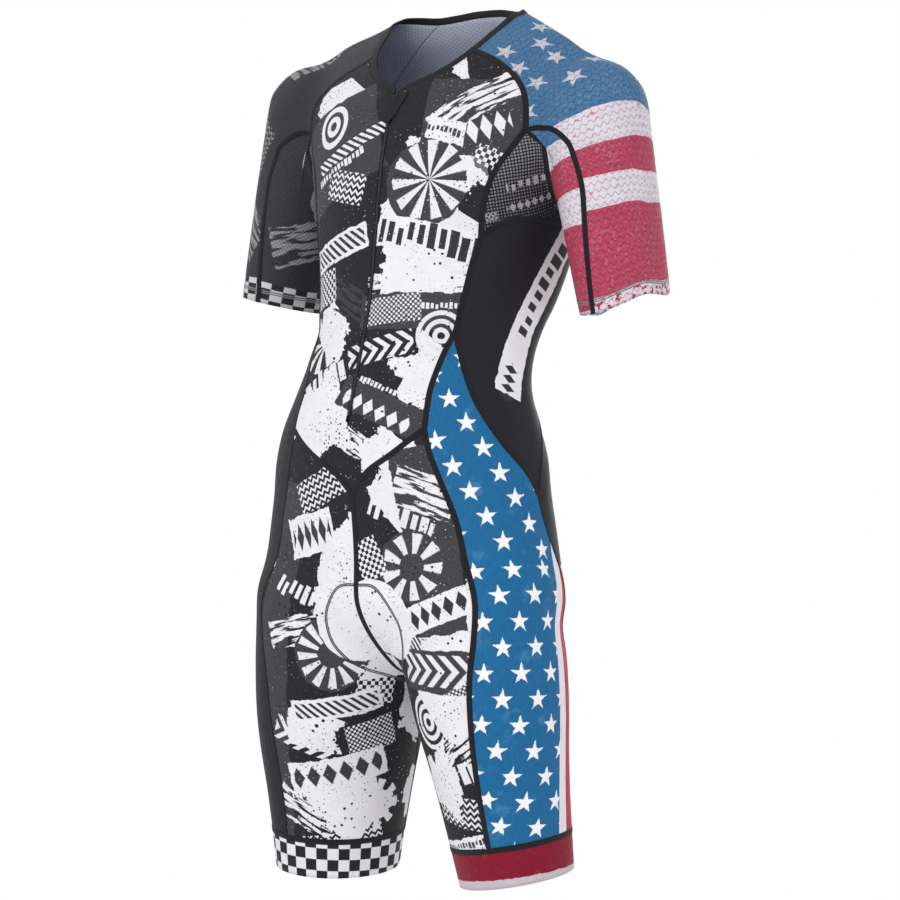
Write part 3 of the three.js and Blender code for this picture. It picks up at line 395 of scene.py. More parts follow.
def slit_closed(points, triangles):
    """The triangles of the front with its zip slit bridged, so that both halves are laid flat as one."""
    near = [i for loop in rim_loops(triangles) for i in loop if abs(points[i, 0]) < SLIT_REACH]
    low, high = (MM * z for z in SLIT_HEIGHTS)
    near = sorted((i for i in near if low < points[i, 2] < high), key=lambda i: points[i, 2])
    end = min(near, key=lambda i: abs(points[i, 0]))
    left = [end, *(i for i in near if points[i, 0] > 0 and i != end)]
    right = [end, *(i for i in near if points[i, 0] < 0 and i != end)]
    bridge = [(left[0], left[1], right[1])]
    for k in range(1, min(len(left), len(right)) - 1):
        bridge += [(left[k], left[k + 1], right[k + 1]), (left[k], right[k + 1], right[k])]
    return np.concatenate([triangles, np.array(bridge)])


def spread_in_circle(points, triangles, pull):
    """A first flat layout without folds: the longest rim on a circle and the rest drawn evenly inside."""
    loop = max(rim_loops(triangles), key=len)
    ring = points[loop]
    steps = np.linalg.norm(np.roll(ring, -1, axis=0) - ring, axis=1)
    angle = 2 * math.pi * np.concatenate([[0], np.cumsum(steps)[:-1]]) / steps.sum()
    radius = steps.sum() / (2 * math.pi)
    flat = np.zeros((len(points), 2))
    flat[loop] = radius * np.stack([np.cos(angle), np.sin(angle)], axis=1)
    free = np.setdiff1d(np.arange(len(points)), loop)
    held = pull[np.ix_(free, loop)] @ flat[loop]
    flat[free] = -np.linalg.solve(pull[np.ix_(free, free)], held)
    return flat


def upright(flat, points):
    """Turns a flat layout so that up in it is up on the suit, with its middle at zero."""
    flat = flat - flat.mean(axis=0)
    slope = np.linalg.lstsq(flat, points[:, 2] - points[:, 2].mean(), rcond=None)[0]
    up = unit(slope)
    return np.stack([flat[:, 0] * up[1] - flat[:, 1] * up[0], flat @ up], axis=1)


def round_the_leg(points, name):
    """A ring laid flat: the distance round the leg, zero in front, and the height along it."""
    mirror = -1 if name.endswith("right") else 1
    top, end = (np.array(place) * [mirror, 1, 1] * MM for place in LIMB_AXES["leg"])
    axis = unit(end - top)
    outward = unit(np.array([1, 0, 0]) - axis * axis[0])
    forward = np.cross(outward, axis)
    forward = forward if forward[1] < 0 else -forward
    offset = points - top
    turn = np.arctan2(offset @ outward, offset @ forward)
    radius = np.linalg.norm(offset - np.outer(offset @ axis, axis), axis=1).mean()
    return np.stack([turn * radius, -offset @ axis], axis=1), 2 * math.pi * radius


def new_object(name, points, faces):
    mesh = bpy.data.meshes.new(name)
    mesh.from_pydata(points.tolist(), [], [list(face) for face in faces])
    mesh.update()
    obj = bpy.data.objects.new(name, mesh)
    bpy.context.scene.collection.objects.link(obj)
    mesh.shade_smooth()
    return obj


def lay_uv(obj, corners):
    layer = obj.data.uv_layers.new(name="cut")
    layer.data.foreach_set("uv", np.asarray(corners, np.float32).ravel())


def wall_faces(triangles, count):
    """A sheet, its inside and the strip along its rim."""
    inside = triangles[:, ::-1] + count
    strip = []
    for loop in rim_loops(triangles):
        for a, b in zip(loop, loop[1:] + loop[:1]):
            strip.append((b, a, a + count, b + count))
    return triangles, inside, strip


class Panel:
    """One panel of cloth: its fine outer sheet, its flat cut and its Blender piece."""

    def __init__(self, name, coarse, triangles, corners):
        self.name = name
        split = Subdivision(triangles, len(coarse), corners)
        self.triangles = split.triangles
        smooth = split.through(coarse)
        self.points = draped(smooth, point_normals(smooth, self.triangles))
        self.normals = point_normals(self.points, self.triangles)
        if name.startswith("gripper"):
            flat, around = round_the_leg(smooth, name)
            self.corner_uv = flat[self.triangles]
            first = self.corner_uv[:, :1, 0]
            self.corner_uv[:, :, 0] -= around * np.round((self.corner_uv[:, :, 0] - first) / around)
        else:
            whole = slit_closed(coarse, triangles) if name == "front_body" else triangles
            flat = split.once(flat_cut(coarse, whole))
            self.corner_uv = flat[self.triangles]
        self.corner_uv += np.array(PRINT_SHIFT.get(name, (0, 0))) * MM
        self.surface = BVHTree.FromPolygons(self.points.tolist(), self.triangles.tolist())
        self.sewn_on = []

    def build(self, outside_look, inside_look):
        count = len(self.points)
        outside, inside, strip = wall_faces(self.triangles, count)
        points = np.concatenate([self.points, self.points - self.normals * CLOTH])
        obj = new_object(f"{self.name}_cloth", points, [*outside.tolist(), *inside.tolist(), *strip])
        vertex_uv = np.zeros((2 * count, 2))
        vertex_uv[self.triangles.ravel()] = self.corner_uv.reshape(-1, 2)
        vertex_uv[count:] = vertex_uv[:count]
        rim_uv = vertex_uv[np.array(strip).ravel()]
        flipped = self.corner_uv[:, ::-1].reshape(-1, 2)
        lay_uv(obj, np.concatenate([self.corner_uv.reshape(-1, 2), flipped, rim_uv]))
        sides = len(outside)
        slots = np.concatenate([np.zeros(sides, int), np.ones(sides, int), np.zeros(len(strip), int)])
        obj.data.polygons.foreach_set("material_index", slots)
        obj.data.materials.append(outside_look)
        obj.data.materials.append(inside_look)
        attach(obj, "root")
        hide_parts(self.name)
        self.piece = obj

    def declare_cut(self):
        area = np.linalg.norm(face_normals(self.points, self.triangles), axis=1).sum() / 2
        size = np.ptp(self.corner_uv.reshape(-1, 2), axis=0)
        area = min(area, size.prod())


def all_panels():
    """Every panel. A point where any panel's edge turns sharply is kept sharp in its neighbours too."""
    sheets = {name: outer_sheet(name) for name in PANELS}
    rims = {name: [i for loop in rim_loops(sheet[1]) for i in loop] for name, sheet in sheets.items()}
    sharp = np.concatenate([points[sharp_corners(points, faces)] for points, faces in sheets.values()])
    panels = []
    for name, (points, triangles) in sheets.items():
        gaps = np.linalg.norm(points[rims[name]][:, None] - sharp[None], axis=2).min(axis=1)
        corners = [i for i, gap in zip(rims[name], gaps) if gap < SEAM_REACH]
        panels.append(Panel(name, points, triangles, corners))
    return panels


def draped(points, normals):
    """The cloth as it hangs, with its creases."""
    moved = points.copy()
    for place, reach, shift in HANGS:
        far = (((points / MM - place) / reach) ** 2).sum(axis=1)
        share = np.clip(1 - far, 0, None) ** 2
        moved += share[:, None] * np.array(shift) * MM
    flat = points[:, [0, 2]] / MM
    for side, start, end, wide, deep in CREASES:
        start, along = np.array(start, float), np.subtract(end, start)
        share = (flat - start) @ along / (along @ along)
        nearest_place = start + np.clip(share, 0, 1)[:, None] * along
        off = np.linalg.norm(flat - nearest_place, axis=1) / wide
        ends = np.clip(np.minimum(share + 0.25, 1.25 - share) * 2, 0, 1)
        facing = np.clip(normals[:, 1] * side * 1.6, 0, 1)
        sink = deep * MM * np.exp(-off ** 2) * ends * facing
        moved -= normals * sink[:, None]
    return moved


def nearest(surface, places):
    """The places moved onto a surface, with its normals there."""
    found = [surface.find_nearest(Vector(place)) for place in places]
    spots = np.array([spot for spot, _, _, _ in found])
    normals = np.array([normal for _, normal, _, _ in found])
    return spots, normals


def rim_runs(panel, others, sewn_side=True):
    """The stretches of a panel's rim that a neighbour is sewn to, or those that are free."""
    runs = []
    for loop in rim_loops(panel.triangles):
        sewn = np.array([
            any(tree.find_nearest(Vector(p), SEAM_REACH)[0] for tree in others) == sewn_side
            for p in panel.points[loop]
        ])
        if sewn.all():
            runs.append([*loop, loop[0]])
            continue
        start = int(np.flatnonzero(~sewn)[0])
        run = []
        for k in range(start, start + len(loop) + 1):
            if sewn[k % len(loop)]:
                run.append(loop[k % len(loop)])
            else:
                if len(run) > 1:
                    runs.append(run)
                run = []
    return runs


def strip_along(surface, line, rows, closed=False):
    """A raised strip beside a line on a surface. Each row is a distance to its side and a height."""
    line = np.asarray(line)
    before = np.roll(line, 1, axis=0)
    after = np.roll(line, -1, axis=0)
    if closed:
        before[0], after[-1] = line[-2], line[1]
    else:
        before[0], after[-1] = line[0], line[-1]
    along = unit(after - before)
    _, normals = nearest(surface, line)
    inward = unit(np.cross(normals, along))
    grid = []
    for inset, lift in rows:
        spots, lifted = nearest(surface, line + inward * max(inset, 0))
        grid.append(spots + inward * min(inset, 0) + lifted * lift)
    lengths = np.concatenate([[0], np.cumsum(np.linalg.norm(np.diff(line, axis=0), axis=1))])
    return np.array(grid), lengths


def strips_piece(name, strips, insets, look):
    """One piece from several strips, laid flat by length and distance across."""
    points, faces, corners = [], [], []
    total = 0
    for grid, lengths in strips:
        rows, count, _ = grid.shape
        points.append(grid.reshape(-1, 3))
        for j in range(rows - 1):
            for i in range(count - 1):
                a = total + j * count + i
                faces.append((a, a + 1, a + count + 1, a + count))
                corners += [
                    (lengths[i], insets[j]), (lengths[i + 1], insets[j]),
                    (lengths[i + 1], insets[j + 1]), (lengths[i], insets[j + 1]),
                ]
        total += rows * count
    obj = new_object(name, np.concatenate(points), faces)
    lay_uv(obj, corners)
    obj.data.materials.append(look)
    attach(obj, "root")
    return obj


# Across a seam band from just past the rim to its edge: distance in and height
BAND_ROWS = [
    (-0.3 * MM, BAND_LIFT),
    (1.0 * MM, BAND_LIFT),
    (2.1 * MM, BAND_LIFT * 0.95),
    (2.8 * MM, BAND_LIFT * 0.6),
    (BAND_HALF, -0.1 * MM),
]


def thread_rows(inset):
    """Across a line of stitches: a low round thread."""
    return [
        (inset - THREAD, -0.05 * MM),
        (inset - THREAD / 2, THREAD_LIFT),
        (inset + THREAD / 2, THREAD_LIFT),
        (inset + THREAD, -0.05 * MM),
    ]


def seam_bands(panels, look):
    for panel in panels:
        others = [other.surface for other in panels if other is not panel]
        runs = [panel.points[run] for run in rim_runs(panel, others)]
        strips = [strip_along(panel.surface, run, BAND_ROWS) for run in runs]
        band = strips_piece(f"{panel.name}_seam", strips, [inset for inset, _ in BAND_ROWS], look)
        panel.sewn_on.append(band)


def cuff_stitches(panels, look):
    """The double row of stitches above each sleeve's hem."""
    for panel in panels:
        if "sleeve" not in panel.name:
            continue
        others = [other.surface for other in panels if other is not panel]
        low = panel.points[:, 2].min() + CUFF_SPREAD
        for run in rim_runs(panel, others, sewn_side=False):
            line = panel.points[run]
            if line[:, 2].max() > low:
                continue
            for number, inset in enumerate(CUFF_STITCHES):
                rows = thread_rows(inset)
                strips = [strip_along(panel.surface, line, rows)]
                name = f"{panel.name}_stitches_{number}"
                panel.sewn_on.append(strips_piece(name, strips, [inset for inset, _ in rows], look))


def pad_line(panels, look):
    """The stitch line that holds the seat pad inside, all round it."""
    legs = [panel for panel in panels if panel.name.startswith(("leg_front", "leg_back"))]
    points = np.concatenate([panel.points for panel in legs])
    counts = np.cumsum([0, *(len(panel.points) for panel in legs)])
    faces = np.concatenate([panel.triangles + count for panel, count in zip(legs, counts)])
    surface = BVHTree.FromPolygons(points.tolist(), faces.tolist())
    half = [(x, -0.4, z, 1) for x, z in PAD_FRONT] + [(x, 0.4, z, -1) for x, z in PAD_BEHIND]
    ring = half + [(-x, y, z, way) for x, y, z, way in half[-2:0:-1]]
    spots = []
    for x, y, z, way in ring:
        start = Vector((x * MM, y, z * MM))
        spot, _, _, _ = surface.ray_cast(start, Vector((0, way, 0)))
        spots.append(spot if spot is not None else surface.find_nearest(start)[0])
    line = curve_through(np.array([list(spot) for spot in spots] + [list(spots[0])]), 14)
    line, _ = nearest(surface, line)
    strips = []
    for inset in (0.8 * MM, 2.6 * MM):
        rows = thread_rows(inset)
        strips.append(strip_along(surface, line, rows, closed=True))
    piece = strips_piece("pad_stitches", strips, [inset for inset, _ in thread_rows(0)], look)
    legs[0].sewn_on.append(piece)


def curve_through(points, steps):
    """A smooth closed line through points, the last the same as the first."""
    count = len(points) - 1
    line = []
    for k in range(count):
        a, b, c, d = (points[(k + shift) % count] for shift in (-1, 0, 1, 2))
        for t in np.arange(steps) / steps:
            line.append(0.5 * (2 * b + (c - a) * t + (2 * a - 5 * b + 4 * c - d) * t ** 2
                               + (3 * b - a - 3 * c + d) * t ** 3))
    return np.array([*line, line[0]])


def rounded(name, look):
    """A soft solid of the frame with its edges rounded."""
    points, triangles = node_mesh(name)
    split = Subdivision(triangles, len(points), [])
    obj = new_object(f"{name}_cloth", split.through(points), split.triangles.tolist())
    obj.data.materials.append(look)
    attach(obj, "root")
    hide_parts(name)
    return obj


def tooth_shape():
    """Points and faces of one loop of the zip's coil, one unit to each side."""
    rings, sides = 3, 8
    points = [(-1, 0, 0)]
    for ring in range(1, rings + 1):
        turn = math.pi * ring / (rings + 1)
        for side in range(sides):
            angle = 2 * math.pi * side / sides
            reach = math.sin(turn)
            points.append((-math.cos(turn), reach * math.cos(angle), reach * math.sin(angle)))
    points.append((1, 0, 0))
    faces = [(0, 1 + (k + 1) % sides, 1 + k) for k in range(sides)]
    for ring in range(rings - 1):
        for k in range(sides):
            a, b = 1 + ring * sides + k, 1 + ring * sides + (k + 1) % sides
            faces.append((a, b, b + sides, a + sides))
    last = len(points) - 1
    faces += [(last, last - sides + k, last - sides + (k + 1) % sides) for k in range(sides)]
    return np.array(points), faces


def zip_teeth(look):
    """The closed coil: two rows of small loops in step, in front of the plain strip's place."""
    points, triangles = node_mesh("zip_chain")
    surface = BVHTree.FromPolygons(points.tolist(), triangles.tolist())
    low, high = points[:, 2].min() + 1 * MM, points[:, 2].max() - 1 * MM
    middle = (points[:, 0].min() + points[:, 0].max()) / 2
    shape, shape_faces = tooth_shape()
    verts, faces = [], []
    for number, z in enumerate(np.arange(low, high, TOOTH_PITCH / 2)):
        spot, normal, _, _ = surface.ray_cast(Vector((middle, -0.4, z)), Vector((0, 1, 0)))
        if spot is None:
            continue
        side = 1 if number % 2 else -1
        place = np.array(spot) + np.array([side * 0.75 * MM, 0, 0]) - np.array(normal) * 0.2 * MM
        faces += [tuple(len(verts) + i for i in face) for face in shape_faces]
        verts += (shape * TOOTH_SIZE + place).tolist()
    obj = new_object("zip_teeth", np.array(verts), faces)
    obj.data.materials.append(look)
    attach(obj, "root")
    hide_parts("zip_chain")


# Colours as the shader reads them
WHITE = (0.74, 0.73, 0.765)
CHARCOAL = (0.008, 0.008, 0.0125)
INK = (0.004, 0.004, 0.005)
BLUE = (0.003, 0.078, 0.205)
SLEEVE_BLUE = (0.035, 0.118, 0.25)
RED = (0.34, 0.03, 0.07)
GRIPPER_RED = (0.17, 0.002, 0.014)
BACK_OF_KNIT = (0.36, 0.39, 0.49)
BLACK = (0.006, 0.006, 0.007)
THREAD_GREY = (0.05, 0.052, 0.062)
GUNMETAL = (0.05, 0.05, 0.055)


class Value:
    """A number that differs over a surface, so that sums of nodes read as sums."""

    def __init__(self, graph, socket):
        self.graph = graph
        self.socket = socket

    def __add__(self, other):
        return self.graph.math("ADD", self, other)

    def __sub__(self, other):
        return self.graph.math("SUBTRACT", self, other)

    def __rsub__(self, other):
        return self.graph.math("SUBTRACT", other, self)

    def __mul__(self, other):
        return self.graph.math("MULTIPLY", self, other)

    def __truediv__(self, other):
        return self.graph.math("DIVIDE", self, other)

    def __abs__(self):
        return self.graph.math("ABSOLUTE", self)

    __radd__ = __add__
    __rmul__ = __mul__


class Graph:
    """One material's nodes. Places are on the flat cut, or in the suit's own space, in mm."""

    def __init__(self, name, flat=True):
        self.material = bpy.data.materials.new(name)
        self.material.use_nodes = True
        self.tree = self.material.node_tree
        self.shader = self.tree.nodes["Principled BSDF"]
        if flat:
            cut = self.tree.nodes.new("ShaderNodeUVMap")
            cut.uv_map = "cut"
            place = cut.outputs[0]
        else:
            place = self.tree.nodes.new("ShaderNodeTexCoord").outputs["Object"]
        self.place = self.vector("SCALE", place, scale=1 / MM)
        self.u, self.v = self.parts(self.place)

    def put(self, socket, value):
        value = value.socket if isinstance(value, Value) else value
        if isinstance(value, bpy.types.NodeSocket):
            self.tree.links.new(value, socket)
        else:
            socket.default_value = value

    def math(self, operation, a, b=0.0, c=0.0, clamp=False):
        node = self.tree.nodes.new("ShaderNodeMath")
        node.operation = operation
        node.use_clamp = clamp
        for socket, value in zip(node.inputs, (a, b, c)):
            self.put(socket, value)
        return Value(self, node.outputs[0])

    def vector(self, operation, a, b=None, scale=None):
        node = self.tree.nodes.new("ShaderNodeVectorMath")
        node.operation = operation
        self.put(node.inputs[0], a)
        if b is not None:
            self.put(node.inputs[1], b)
        if scale is not None:
            self.put(node.inputs["Scale"], scale)
        return node.outputs["Vector"]

    def parts(self, vector):
        node = self.tree.nodes.new("ShaderNodeSeparateXYZ")
        self.put(node.inputs[0], vector)
        return Value(self, node.outputs[0]), Value(self, node.outputs[1])

    def join(self, x, y):
        node = self.tree.nodes.new("ShaderNodeCombineXYZ")
        self.put(node.inputs[0], x)
        self.put(node.inputs[1], y)
        return node.outputs[0]

    def length(self, x, y):
        return self.math("SQRT", x * x + y * y)

    def turned(self, x, y, turn):
        """Distances from a point, along and across a direction turned by so many degrees."""
        cosine, sine = math.cos(math.radians(turn)), math.sin(math.radians(turn))
        across, up = self.u - x, self.v - y
        return across * cosine + up * sine, up * cosine - across * sine

    def noise(self, size, detail=2.0, seed=0.0, tall=1.0):
        """A cloudy number about a half. Its patches are about as wide as size, in mm."""
        node = self.tree.nodes.new("ShaderNodeTexNoise")
        stretched = self.vector("MULTIPLY", self.place, (1 / size, 1 / (size * tall), 1 / size))
        self.put(node.inputs["Vector"], self.vector("ADD", stretched, (seed, seed * 1.7, seed)))
        node.inputs["Scale"].default_value = 1.0
        node.inputs["Detail"].default_value = detail
        node.inputs["Roughness"].default_value = 0.6
        return Value(self, node.outputs[0])

    def chance(self, cell):
        """A number from 0 to 1, the same all over one cell."""
        node = self.tree.nodes.new("ShaderNodeTexWhiteNoise")
        node.noise_dimensions = "1D"
        self.put(node.inputs["W"], cell)
        return Value(self, node.outputs["Value"])

    def drops(self, pitch, size, seed):
        """Round drops of uneven size, crowded in places."""
        node = self.tree.nodes.new("ShaderNodeTexVoronoi")
        node.voronoi_dimensions = "2D"
        spread = self.vector("ADD", self.vector("SCALE", self.place, scale=1 / pitch), (seed, seed * 2, 0))
        self.put(node.inputs["Vector"], spread)
        node.inputs["Scale"].default_value = 1.0
        crowd = self.noise(45, 1.0, seed) * 2.2 - 0.85
        return self.inside(Value(self, node.outputs["Distance"]) - crowd * size, 0.02)

    def flecks(self, size, share, seed):
        """Ragged worn flecks, crowded in places."""
        crowd = self.noise(30, 2.0, seed + 3) - 0.5
        return self.above(self.noise(size, 5.0, seed) + crowd * 0.35, 1 - share, 0.015)

    def inside(self, distance, soft=0.3):
        """One where a distance is below zero, none where it is above, with a soft edge."""
        return self.math("MULTIPLY_ADD", distance, -0.5 / soft, 0.5, clamp=True)

    def above(self, value, limit, soft):
        return self.inside(limit - value, soft)

    def share(self, value, pitch=1.0):
        return self.math("FRACT", value / pitch)

    def cell(self, value, pitch):
        return self.math("FLOOR", value / pitch)

    def colour(self, amount, a, b):
        """Colour a where the amount is none and colour b where it is one."""
        node = self.tree.nodes.new("ShaderNodeMix")
        node.data_type = "RGBA"
        self.put(node.inputs[0], amount)
        for socket, value in zip((node.inputs[6], node.inputs[7]), (a, b)):
            self.put(socket, (*value, 1) if isinstance(value, tuple) else value)
        return node.outputs[2]

    def over(self, base, amount, tone):
        node = self.tree.nodes.new("ShaderNodeMix")
        for socket, value in zip((node.inputs[0], node.inputs[2], node.inputs[3]), (amount, base, tone)):
            self.put(socket, value)
        return Value(self, node.outputs[0])

    def lattice(self, x, y, first, second):
        """Offsets from the nearest point of a lattice with the two given steps."""
        size = first[0] * second[1] - first[1] * second[0]
        p = self.share((x * second[1] - y * second[0]) / size + 0.5) - 0.5
        q = self.share((y * first[0] - x * first[1]) / size + 0.5) - 0.5
        return p * first[0] + q * second[0], p * first[1] + q * second[1]

    def staggered(self, x, y, wide, tall):
        return self.lattice(x, y, (wide / 2, tall / 2), (-wide / 2, tall / 2))

    def star(self, x, y, radius):
        """Distance from the edge of a five-pointed star, below zero inside it."""
        fifth = math.pi * 2 / 5
        turned = self.math("FLOORED_MODULO", self.math("ARCTAN2", x, y) + fifth / 2, fifth)
        off_notch = fifth / 2 - abs(turned - fifth / 2)
        notch = 0.4 * radius
        point_x, point_y = radius * math.cos(fifth / 2), radius * math.sin(fifth / 2)
        size = math.hypot(point_x - notch, point_y)
        reach = self.length(x, y)
        across = reach * self.math("COSINE", off_notch) - notch
        beside = reach * self.math("SINE", off_notch)
        return across * (point_y / size) - beside * ((point_x - notch) / size)

    def from_nearest(self, places):
        """Offsets from the nearest of some places."""
        best = 1e9
        across, up = 0.0, 0.0
        for x, y in places:
            du, dv = self.u - x, self.v - y
            gap = du * du + dv * dv
            closer = self.math("LESS_THAN", gap, best)
            across, up = self.over(across, closer, du), self.over(up, closer, dv)
            best = self.math("MINIMUM", gap, best)
        return across, up

    def checks(self, x, y, wide, tall):
        """Squares by turns none and one."""
        across = self.above(abs(self.share(x, 2 * wide) - 0.5), 0.25, 0.012)
        along = self.above(abs(self.share(y, 2 * tall) - 0.5), 0.25, 0.012)
        return abs(across - along)

    def blocks(self, x, y, pitch, tall):
        """Upright blocks of uneven height and width."""
        chance = self.chance(self.cell(x, pitch))
        off = abs(self.share(x, pitch) - 0.5) * pitch - (chance * 0.16 + 0.26) * pitch
        lean = self.chance(self.cell(x, pitch) + 40) - 0.5
        up = abs(y + lean * tall * 0.3) - (chance * 0.2 + 0.26) * tall
        return self.inside(self.math("MAXIMUM", off, up))

    def gems(self, x, y, pitch, tall):
        off = abs(self.share(x, pitch) - 0.5) * 2 + abs(y) * (2 / tall)
        return self.above(0.86 - off, 0.0, 0.06)

    def slants(self, x, y, pitch, tall):
        return self.above(self.share(x + y, pitch), 0.5, 0.03)

    def chevrons(self, x, y, pitch, tall):
        return self.above(self.share(x + abs(y), pitch), 0.5, 0.04)

    def squares(self, x, y, pitch, tall):
        return self.checks(x, y, pitch / 2, pitch / 2)

    def rings(self, x, y, pitch, tall):
        return self.above(self.share(self.length(x, y), pitch), 0.45, 0.03)

    def rays(self, x, y, pitch, tall):
        return self.above(self.share(self.math("ARCTAN2", y, x), 2 * math.pi / pitch), 0.5, 0.04)

    def waves(self, x, y, pitch, tall):
        """Zigzag lines one above the other."""
        wave = self.math("PINGPONG", x, pitch / 2)
        return self.above(self.share(y + wave, pitch * 0.8), 0.55, 0.05)

    def dots(self, x, y, pitch, tall):
        du, dv = self.staggered(x, y, pitch, pitch)
        return self.inside(self.length(du, dv) - pitch / 4)

    def brush(self, x, y, pitch, tall):
        """Dry strokes of a brush along x."""
        node = self.tree.nodes.new("ShaderNodeTexNoise")
        self.put(node.inputs["Vector"], self.join(x / (pitch * 7), y / pitch))
        node.inputs["Scale"].default_value = 1.0
        node.inputs["Detail"].default_value = 5.0
        return self.above(Value(self, node.outputs[0]), 0.47, 0.02)

    def shards(self, x, y, pitch, tall):
        """Torn angular patches."""
        wander = (self.noise(pitch * 0.4, 4.0, 4.0) - 0.5) * 0.8
        node = self.tree.nodes.new("ShaderNodeTexVoronoi")
        node.voronoi_dimensions = "2D"
        self.put(node.inputs["Vector"], self.join(x / pitch + wander, y / pitch - wander))
        node.inputs["Scale"].default_value = 1.0
        split = self.tree.nodes.new("ShaderNodeSeparateColor")
        self.put(split.inputs[0], node.outputs["Color"])
        return self.above(Value(self, split.outputs[0]), 0.58, 0.01)

    def shape(self, row):
        """One inside a row's outline, where its fill shows, with a torn edge."""
        form, fill, x, y, wide, tall, turn, pitch, _, torn = row
        x, y = self.turned(x, y, turn)
        if form == "disc":
            edge = self.length(x, y) - wide / 2
        else:
            edge = self.math("MAXIMUM", abs(x) - wide / 2, abs(y) - tall / 2)
        edge = self.inside(edge + (self.torn - 0.5) * (3.2 * torn))
        return edge if fill == "plain" else edge * getattr(self, fill)(x, y, pitch, tall)

    def print_tone(self, rows):
        """The tone of a print, from dark 0 to light 1, with drops of ink and worn scratches."""
        self.torn = self.noise(11, 6.0, 2.3)
        tone = 0.0
        for row in rows:
            tone = self.over(tone, self.shape(row), row[8])
        tone = self.over(tone, self.drops(7, 0.2, 1.0), 0.0)
        tone = self.over(tone, self.drops(15, 0.17, 5.0), 0.0)
        tone = self.over(tone, self.drops(9, 0.1, 21.0) * 0.9, 0.95)
        return self.over(tone, self.flecks(3.2, 0.3, 7.0) * 0.9, 0.04)

    def ribs(self, pitch=1.15):
        """The fine loops of a smooth knit."""
        across = self.math("SINE", self.u * (2 * math.pi / pitch))
        along = self.math("SINE", self.v * (2 * math.pi / (pitch * 0.8)))
        return across * 0.3 + along * 0.2

    def holes(self, wide, tall, size, long=1.0):
        """Staggered holes: one on the cloth between them and none inside."""
        du, dv = self.staggered(self.u, self.v, wide, tall)
        return self.above(self.length(du / long, dv), size, 0.3)

    def finish(self, colour, relief, depth, roughness=0.6, sheen=0.02, specular=0.14):
        """Colour with a slight unevenness, the relief and an uneven roughness."""
        bright = self.tree.nodes.new("ShaderNodeHueSaturation")
        self.put(bright.inputs["Value"], 0.9 + self.noise(38, 3.0, 9.0) * 0.2)
        self.put(bright.inputs["Color"], colour)
        self.put(self.shader.inputs["Base Color"], bright.outputs[0])
        self.put(self.shader.inputs["Roughness"], roughness - 0.09 + self.noise(6, 3.0, 3.0) * 0.18)
        self.shader.inputs["Sheen Weight"].default_value = sheen
        self.shader.inputs["Sheen Roughness"].default_value = 0.4
        self.shader.inputs["Specular IOR Level"].default_value = specular
        bump = self.tree.nodes.new("ShaderNodeBump")
        bump.inputs["Strength"].default_value = 1.0
        bump.inputs["Distance"].default_value = depth * MM
        self.put(bump.inputs["Height"], relief)
        self.put(self.shader.inputs["Normal"], bump.outputs[0])
        return self.material


# Rows of a print, laid over the dark cloth in order, in mm on the flat cut:
# form, fill, x, y, width, height, turn in degrees, the fill's pitch, tone, how torn the edge is
FRONT_PRINT = [
    ("box", "shards", 0, 0, 300, 480, 20, 62, 0.93, 1.5),
    ("box", "plain", 104, 160, 120, 90, 0, 0, 0.04, 3.0),
    ("box", "brush", 100, 176, 110, 34, 38, 5, 0.93, 3.0),
    ("box", "gems", 108, 146, 70, 30, 24, 15, 0.93, 1.0),
    ("box", "plain", 72, 142, 42, 24, -10, 0, 0.93, 2.5),
    ("box", "blocks", 70, 142, 38, 9, -10, 5, 0.04, 0.4),
    ("disc", "plain", 56, 84, 92, 0, 0, 0, 0.04, 2.5),
    ("disc", "rays", 60, 88, 86, 0, 0, 11, 0.9, 2.5),
    ("box", "plain", 62, 26, 120, 34, -8, 0, 0.93, 2.0),
    ("box", "blocks", 62, 26, 112, 34, -8, 12, 0.02, 0.8),
    ("box", "brush", 60, -22, 126, 34, 10, 5, 0.94, 2.5),
    ("box", "plain", 56, -52, 130, 40, 4, 0, 0.04, 2.5),
    ("box", "dots", 30, -52, 66, 30, 10, 5.5, 0.9, 1.5),
    ("disc", "rings", 88, -76, 56, 0, 0, 9, 0.88, 2.5),
    ("box", "chevrons", 22, -96, 78, 26, 18, 14, 0.9, 1.4),
    ("box", "plain", 34, -160, 110, 34, -22, 0, 0.04, 2.5),
    ("box", "gems", 30, -164, 88, 22, -22, 16, 0.93, 1.2),
    ("box", "blocks", 48, -144, 90, 8, -20, 5, 0.93, 0.4),
    ("box", "brush", 10, -200, 96, 26, -30, 4, 0.92, 2.5),
    ("box", "plain", -74, 128, 130, 110, 24, 0, 0.04, 3.0),
    ("box", "slants", -50, 128, 110, 14, 24, 9, 0.93, 0.8),
    ("disc", "rings", -84, 154, 56, 0, 0, 12, 0.93, 2.0),
    ("box", "blocks", -66, 106, 84, 10, 24, 6, 0.93, 0.5),
    ("box", "plain", -60, 18, 100, 28, 14, 0, 0.92, 2.0),
    ("box", "slants", -60, 18, 92, 20, 14, 10, 0.03, 0.8),
    ("box", "brush", -34, -40, 70, 34, -24, 5, 0.03, 2.5),
    ("disc", "rays", -66, -84, 72, 0, 0, 9, 0.9, 2.5),
    ("box", "blocks", -58, -134, 92, 30, 26, 11, 0.9, 1.0),
    ("box", "chevrons", -34, -186, 66, 22, 30, 12, 0.9, 1.2),
    ("box", "squares", -82, -24, 52, 38, 8, 9, 0.93, 1.2),
    ("box", "squares", 128, 114, 44, 22, -20, 9, 0.93, 0.6),
    ("box", "blocks", 92, -44, 60, 9, 4, 5, 0.93, 0.4),
    ("box", "dots", -88, -166, 60, 34, 0, 5, 0.93, 1.5),
    ("box", "waves", -50, 84, 58, 34, -12, 9, 0.93, 1.5),
]
